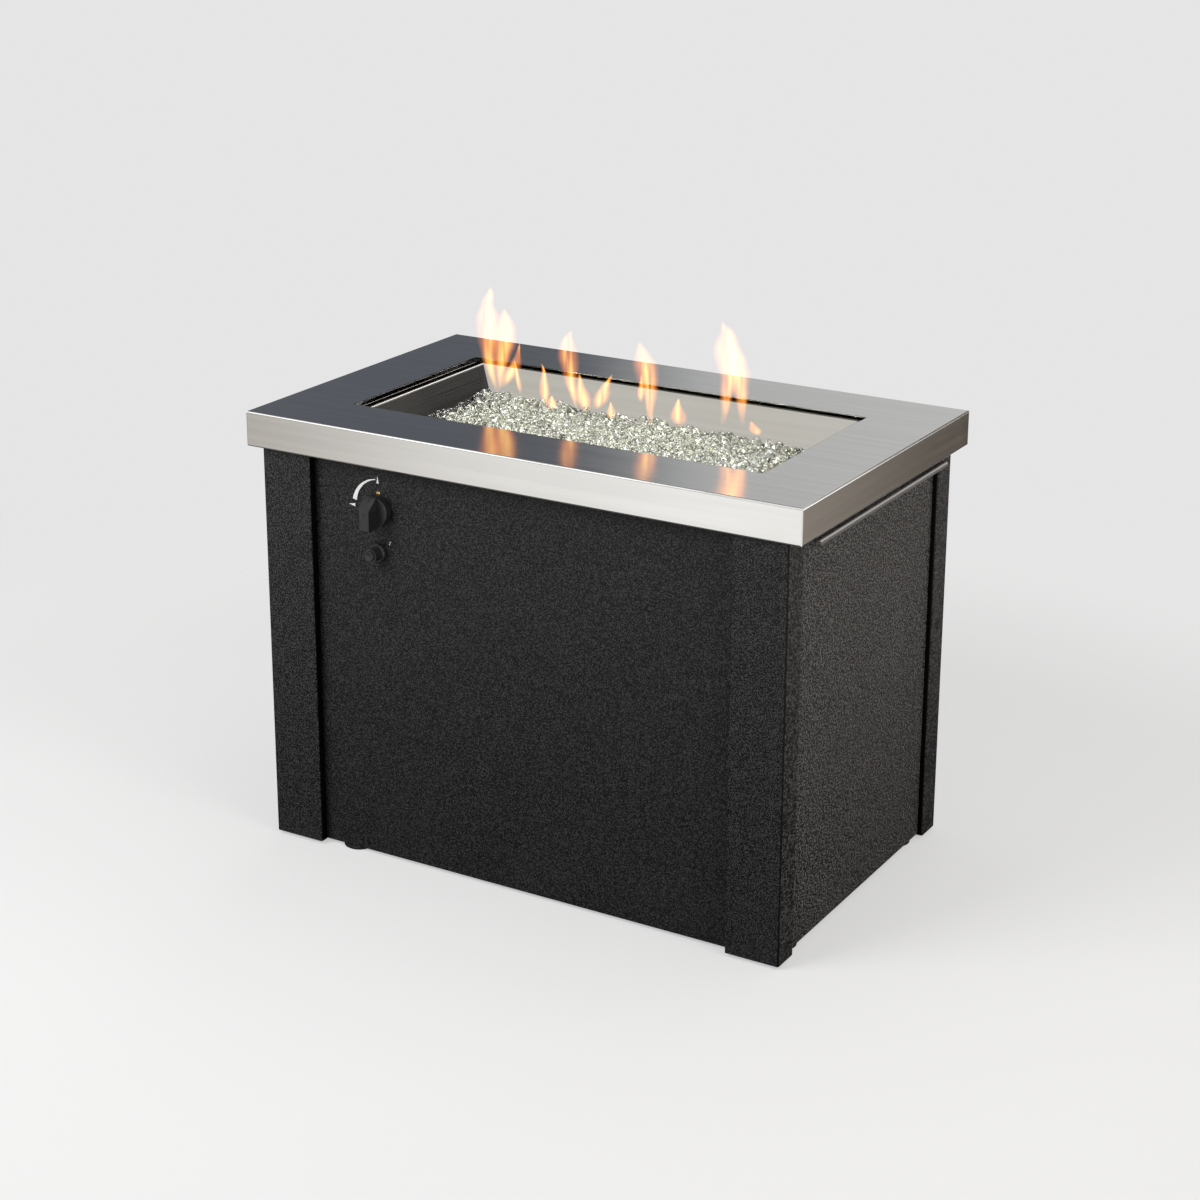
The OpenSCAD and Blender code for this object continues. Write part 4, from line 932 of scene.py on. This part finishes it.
# Fire over the glass, a tongue a row: place along the tube, root, height, half width, bow and lean of the tip
TALL_TONGUES = (
    (-0.175, 0.610, 0.150, 0.0120, -0.010, -0.010),
    (-0.172, 0.615, 0.115, 0.0125, 0.000, 0.012),
    (-0.050, 0.605, 0.110, 0.0100, -0.005, -0.010),
    (0.065, 0.600, 0.115, 0.0120, 0.005, -0.020),
    (0.170, 0.615, 0.140, 0.0130, 0.010, 0.000),
    (0.200, 0.620, 0.115, 0.0120, 0.004, -0.020),
)
LOW_TONGUES = (
    (-0.195, 0.605, 0.065, 0.0080, 0.005, 0.030),
    (-0.165, 0.600, 0.050, 0.0030, 0.000, -0.010),
    (-0.125, 0.590, 0.060, 0.0060, 0.000, -0.005),
    (-0.115, 0.585, 0.020, 0.0060, 0.000, 0.000),
    (-0.060, 0.590, 0.055, 0.0080, 0.000, -0.012),
    (-0.045, 0.595, 0.050, 0.0090, 0.000, 0.025),
    (-0.020, 0.585, 0.025, 0.0050, 0.000, 0.000),
    (0.025, 0.615, 0.040, 0.0040, 0.000, 0.000),
    (0.085, 0.590, 0.040, 0.0090, -0.002, -0.005),
    (0.200, 0.595, 0.020, 0.0065, 0.000, -0.010),
)
# Width along a tongue: a tall one is widest near its tip, and a low one near its root
TALL_SHAPE = ((0, 0.2), (0.2, 0.42), (0.42, 0.74), (0.64, 1.0), (0.8, 0.74), (0.9, 0.42), (1, 0.02))
LOW_SHAPE = ((0, 0.45), (0.18, 0.85), (0.34, 1.0), (0.56, 0.74), (0.76, 0.42), (0.9, 0.2), (1, 0.02))
# Rows of tongues: y, outline and tongues. The low ones burn behind the tube, so few overlap from the side
FIRE_ROWS = (
    (0.0, TALL_SHAPE, TALL_TONGUES),
    (0.043, LOW_SHAPE, LOW_TONGUES),
)
FLAME_PEAK = 1.6
FLAME_EDGE_COLOR = (1.0, 0.25, 0.03)
FLAME_CORE_COLOR = (1.0, 0.60, 0.13)
# Widths of a tongue's lamp, its veil and its waver, in half widths of the tongue
LAMP_WIDTHS = 4.4
VEIL_WIDTHS = 1.5
WAVER_WIDTHS = 1.6
# Noise that wavers the outline, and noise of the upright licks inside it
WAVER_SCALE = 26.0
LICK_STRETCH = (120, 14, 1)
LICK_SEED = 3.7
# Seeds of the tongues, by place in the row and by row
TONGUE_SEED = 1.9
ROW_SEED = 40


def flame_noise(tree, vector, seed, scale):
    values = {"Vector": vector, "W": seed, "Scale": scale, "Detail": 1.0}
    return tree.node("ShaderNodeTexNoise", {"noise_dimensions": "4D"}, values)


def flame_shader(lamp, shape, width, sway, seed):
    """Makes a lamp glow only within a tongue's outline: a veil, and a hotter core with upright licks."""
    span, height = lamp.size, lamp.size_y
    tree = ShaderTree(lamp)
    place = tree.node("ShaderNodeTexCoord", out="Object")
    side, rise, _ = tree.axes(place)
    up = rise / height + 0.5
    half_way, at_tip = sway
    bend = tree.curve(up, ((0, 0.5), (0.5, 0.5 + half_way / span), (1, 0.5 + at_tip / span)))
    middle = (bend - 0.5) * span
    waver = flame_noise(tree, place, seed, WAVER_SCALE)
    stretched = tree.node("ShaderNodeMapping", None, {"Vector": place, "Scale": LICK_STRETCH})
    lick = flame_noise(tree, stretched, seed + LICK_SEED, 1.0)
    wide = tree.curve(up, shape) * (VEIL_WIDTHS * width)
    off = abs(middle + side + (waver - 0.5) * (WAVER_WIDTHS * width) * (0.2 + up)) / wide
    veil = tree.smooth(off, 1.0, 0.4) * (0.30 + 0.35 * lick)
    core = 0.85 * tree.smooth(off, 0.75, 0.0) * tree.smooth(lick, 0.25, 0.65)
    ends = tree.smooth(up, -0.05, 0.28) * tree.smooth(up, 1.0, 0.86)
    heat = tree.blend(core, FLAME_EDGE_COLOR, FLAME_CORE_COLOR)
    color = tree.blend((veil + core) * ends / FLAME_PEAK, (0, 0, 0), heat)
    glow = tree.node("ShaderNodeEmission", None, {"Color": color, "Strength": FLAME_PEAK})
    tree.node("ShaderNodeOutputLight", None, {"Surface": glow})


def flame_light(name, y, shape, tongue, facing, seed, receivers):
    """One tongue of fire: an upright lamp with the tongue's shader."""
    along, root, height, width, bow, lean = tongue
    across = (-facing).cross(Vector((0, 0, 1))).x
    sway = (across * (bow + lean / 2), across * lean)
    span = LAMP_WIDTHS * width + 2 * max(abs(part) for part in sway)
    lamp = bpy.data.lights.new(name, "AREA")
    lamp.shape = "RECTANGLE"
    lamp.size, lamp.size_y = span, height
    lamp.energy = math.pi * span * height
    flame_shader(lamp, shape, width, sway, seed)
    made = bpy.data.objects.new(name, lamp)
    made.location = (along, y, root + height / 2)
    made.rotation_euler = facing.to_track_quat("-Z", "Y").to_euler()
    made.visible_camera = True
    made.visible_diffuse = False
    made.light_linking.receiver_collection = receivers
    bpy.context.scene.collection.objects.link(made)


class FIREPIT_OT_fire(bpy.types.Operator):
    """Light the burner for the picture with flame-shaped lamps, seen from the front and from behind"""

    bl_idname = "firepit.fire"
    bl_label = "Light Burner"

    def execute(self, context):
        s = context.scene.firepit_stage
        facing = Vector((s.eye[0], s.eye[1], 0)).normalized()
        # the fire mirrors in the polished border but not in the pan
        receivers = lit_only("fire_lit", [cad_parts[name] for name in STEEL_TOP])
        for row, (y, shape, tongues) in enumerate(FIRE_ROWS):
            for i, tongue in enumerate(tongues):
                seed = TONGUE_SEED * i + ROW_SEED * row
                flame_light(f"flame_front_{row}_{i}", y, shape, tongue, facing, seed, receivers)
                flame_light(f"flame_back_{row}_{i}", y, shape, tongue, -facing, seed, receivers)
        return {"FINISHED"}


# What the polished faces mirror, by compass turn: -180 and 180 face the viewer's side, 0 the far side
WRAP_STOPS = (
    (-180, (1.25, 1.25, 1.24)),
    (-152, (1.46, 1.45, 1.42)),
    (-146, (1.26, 1.245, 1.21)),
    (-141, (0.66, 0.615, 0.57)),
    (-120, (0.58, 0.56, 0.54)),
    (-75, (0.30, 0.31, 0.33)),
    (-36, (0.130, 0.142, 0.165)),
    (-31, (0.140, 0.152, 0.175)),
    (-28, (0.62, 0.63, 0.63)),
    (-20, (0.74, 0.74, 0.73)),
    (-2, (0.62, 0.61, 0.59)),
    (11, (0.10, 0.085, 0.07)),
    (21.5, (0.065, 0.055, 0.045)),
    (26.5, (0.44, 0.385, 0.33)),
    (45, (0.70, 0.68, 0.65)),
    (95, (1.20, 1.19, 1.16)),
    (120, (1.30, 1.29, 1.26)),
    (150, (1.25, 1.24, 1.22)),
    (180, (1.25, 1.25, 1.24)),
)
# Strip lights that draw the bright lines along the top's rounded edges: turn from and to, height from and to
STRIPS = (
    (-160, -130, 0.50, 0.66),
    (29, 41, -0.18, 0.38),
    (-25, 14, 0.52, 0.70),
)
# Turn and height over which a strip light's sides and ends blur
STRIP_SIDE_BLUR = 0.01
STRIP_END_BLUR = 0.03
# The near side above the horizon, and the ceiling
NEAR_COLOR = (0.28, 0.28, 0.28)
CEILING_COLOR = (0.92, 0.92, 0.90)
# The share of the wrap that dull faces don't take, and the floor's brightness as the pieces see it
DULL_LOSS = 0.45
FLOOR_BOUNCE = (0.12, 0.12, 0.12, 1)
# The floor starts to fade at this share of its reach, and its disc ends a little beyond its reach
FLOOR_FADE = 0.45
FLOOR_MARGIN = 1.02
FLOOR_SEGMENTS = 96
# Width of the camera's sensor in millimetres
SENSOR_WIDTH = 36
# Soft lamps: place, target, width and depth, colour, and whether the polished faces mirror it
SOFT_LAMPS = {
    "key": ((2.3, -0.8, 1.8), (0.3, 0, 0.4), (1.2, 1.2), (1.0, 0.96, 0.91), True),
    "fill": ((-1.0, -1.9, 1.9), (0, -0.2, 0.4), (1.4, 1.4), WHITE_LIGHT, False),
    "top": ((0.1, 0.5, 2.6), (0, 0, 0.5), (2.2, 1.4), WHITE_LIGHT, False),
}


def turn_share(degrees):
    return (degrees + 180) / 360


def strip_mask(tree, value, low, high, blur):
    """1 between two limits and 0 outside them, with a blur at each."""
    return tree.smooth(value, low - blur, low + blur) * tree.smooth(value, high + blur, high - blur)


def studio_world(settings):
    """Plain backdrop for the camera, and a soft wrap of pale and dark walls for everything else."""
    world = bpy.data.worlds.new("studio")
    tree = ShaderTree(world)
    x, y, z = tree.axes(tree.node("ShaderNodeTexCoord", out="Generated"))
    turn = tree.math("ARCTAN2", x, y) / math.tau + 0.5
    stops = [(turn_share(degrees), color) for degrees, color in WRAP_STOPS]
    walls = tree.node("ShaderNodeValToRGB", {"stops": stops}, {0: turn})
    # the near side is dimmer above the horizon, so that the top isn't glaring from behind
    near = tree.smooth(abs(turn - 0.5), 0.22, 0.32)
    lit = tree.blend(0.6 * near * tree.smooth(z, -0.08, 0.1), walls, NEAR_COLOR)
    lit = tree.blend(tree.smooth(z, 0.62, 0.84), lit, CEILING_COLOR)
    for start, end, low, high in STRIPS:
        sides = strip_mask(tree, turn, turn_share(start), turn_share(end), STRIP_SIDE_BLUR)
        ends = strip_mask(tree, z, low, high, STRIP_END_BLUR)
        lit = tree.blend(sides * ends, lit, (settings.strip,) * 3)
    wrap = tree.node("ShaderNodeBackground", None, {"Color": lit, "Strength": settings.wrap})
    plain = tree.node("ShaderNodeBackground", None, {"Color": (1, 1, 1, 1), "Strength": settings.backdrop})
    dark = tree.node("ShaderNodeBackground", None, {"Color": (0, 0, 0, 1)})
    ray = tree.node("ShaderNodeLightPath", out="Is Camera Ray")
    lost = DULL_LOSS * ray.out("Is Diffuse Ray")
    dull = tree.node("ShaderNodeMixShader", None, {0: lost, 1: wrap, 2: dark})
    tree.node("ShaderNodeOutputWorld", None, {
        "Surface": tree.node("ShaderNodeMixShader", None, {0: ray, 1: dull, 2: plain})})
    return world


def fading_floor(settings):
    """Pale floor that fades into the backdrop with distance."""
    material = bpy.data.materials.new("studio_floor")
    tree = ShaderTree(material)
    place = tree.node("ShaderNodeTexCoord", out="Object")
    x, y, _ = tree.axes(place)
    far = (x * x + y * y) ** 0.5
    mottle = tree.node("ShaderNodeTexNoise", None, {"Vector": place, "Scale": 30.0, "Detail": 2.0})
    color = tuple(settings.floor_color)
    tone = tree.blend(mottle, shaded(color, 0.99), color)
    paint = tree.node("ShaderNodeBsdfDiffuse", None, {"Color": tone})
    glow = tree.node("ShaderNodeEmission", None, {"Color": (1, 1, 1, 1), "Strength": settings.backdrop})
    soft = tree.node("ShaderNodeMixShader", None, {0: settings.floor_glow, 1: paint, 2: glow})
    dull = tree.node("ShaderNodeBsdfDiffuse", None, {"Color": FLOOR_BOUNCE})
    seen = tree.node("ShaderNodeLightPath", out="Is Camera Ray")
    paint = tree.node("ShaderNodeMixShader", None, {0: seen, 1: dull, 2: soft})
    clear = tree.node("ShaderNodeBsdfTransparent")
    gone = tree.smooth(far, FLOOR_FADE * settings.floor_reach, settings.floor_reach)
    tree.node("ShaderNodeOutputMaterial", None, {
        "Surface": tree.node("ShaderNodeMixShader", None, {0: gone, 1: paint, 2: clear})})
    return material


class FIREPIT_OT_stage(bpy.types.Operator):
    """Set up the camera, floor and soft studio light"""

    bl_idname = "firepit.stage"
    bl_label = "Set Stage"

    def execute(self, context):
        s = context.scene.firepit_stage
        scene = context.scene
        scene.view_settings.view_transform = "Standard"
        lens = bpy.data.cameras.new("camera")
        lens.lens = s.lens
        lens.sensor_width = SENSOR_WIDTH
        lens.shift_y = s.rise
        camera = bpy.data.objects.new("camera", lens)
        camera.location = s.eye
        camera.rotation_euler = s.aim
        scene.collection.objects.link(camera)
        scene.camera = camera
        scene.world = studio_world(s)

        bm = bmesh.new()
        radius = FLOOR_MARGIN * s.floor_reach
        bmesh.ops.create_circle(bm, cap_ends=True, segments=FLOOR_SEGMENTS, radius=radius)
        piece_from(bm, "floor", fading_floor(s))
        for name, (place, target, size, color, mirrored) in SOFT_LAMPS.items():
            power = getattr(s, f"{name}_power")
            soft_light(f"{name}_light", place, target, size, power, color, mirrored)
        return {"FINISHED"}


class FIREPIT_PT_sidebar(bpy.types.Panel):
    """Lists the fire pit's steps and settings"""

    bl_idname = "FIREPIT_PT_sidebar"
    bl_label = "Fire Pit Table"
    bl_space_type = "VIEW_3D"
    bl_region_type = "UI"
    bl_category = "Fire Pit"

    def draw(self, context):
        for group, operators in STEPS:
            column = self.layout.column(align=True)
            for name in operators:
                column.operator(f"firepit.{name}")
            settings = getattr(context.scene, group)
            for prop in settings.bl_rna.properties:
                if prop.identifier not in ("rna_type", "name"):
                    column.prop(settings, prop.identifier)


GROUPS = {
    "firepit_steel": SteelSettings,
    "firepit_coat": CoatSettings,
    "firepit_glass": GlassSettings,
    "firepit_print": PrintSettings,
    "firepit_stage": StageSettings,
}
STEPS = (
    ("firepit_stage", ("stage", "fire")),
    ("firepit_steel", ("steel",)),
    ("firepit_coat", ("cabinet", "hardware", "controls")),
    ("firepit_glass", ("glass",)),
    ("firepit_print", ("print",)),
)
CLASSES = (
    *GROUPS.values(), FIREPIT_OT_steel, FIREPIT_OT_cabinet, FIREPIT_OT_hardware, FIREPIT_OT_controls,
    FIREPIT_OT_glass, FIREPIT_OT_print, FIREPIT_OT_fire, FIREPIT_OT_stage, FIREPIT_PT_sidebar,
)


def register():
    for cls in CLASSES:
        bpy.utils.register_class(cls)
    for name, group in GROUPS.items():
        setattr(bpy.types.Scene, name, PointerProperty(type=group))


def unregister():
    for name in GROUPS:
        delattr(bpy.types.Scene, name)
    for cls in reversed(CLASSES):
        bpy.utils.unregister_class(cls)


def main():
    register()
    for _, operators in STEPS:
        for name in operators:
            getattr(bpy.ops.firepit, name)()


if __name__ == "__main__":
    main()
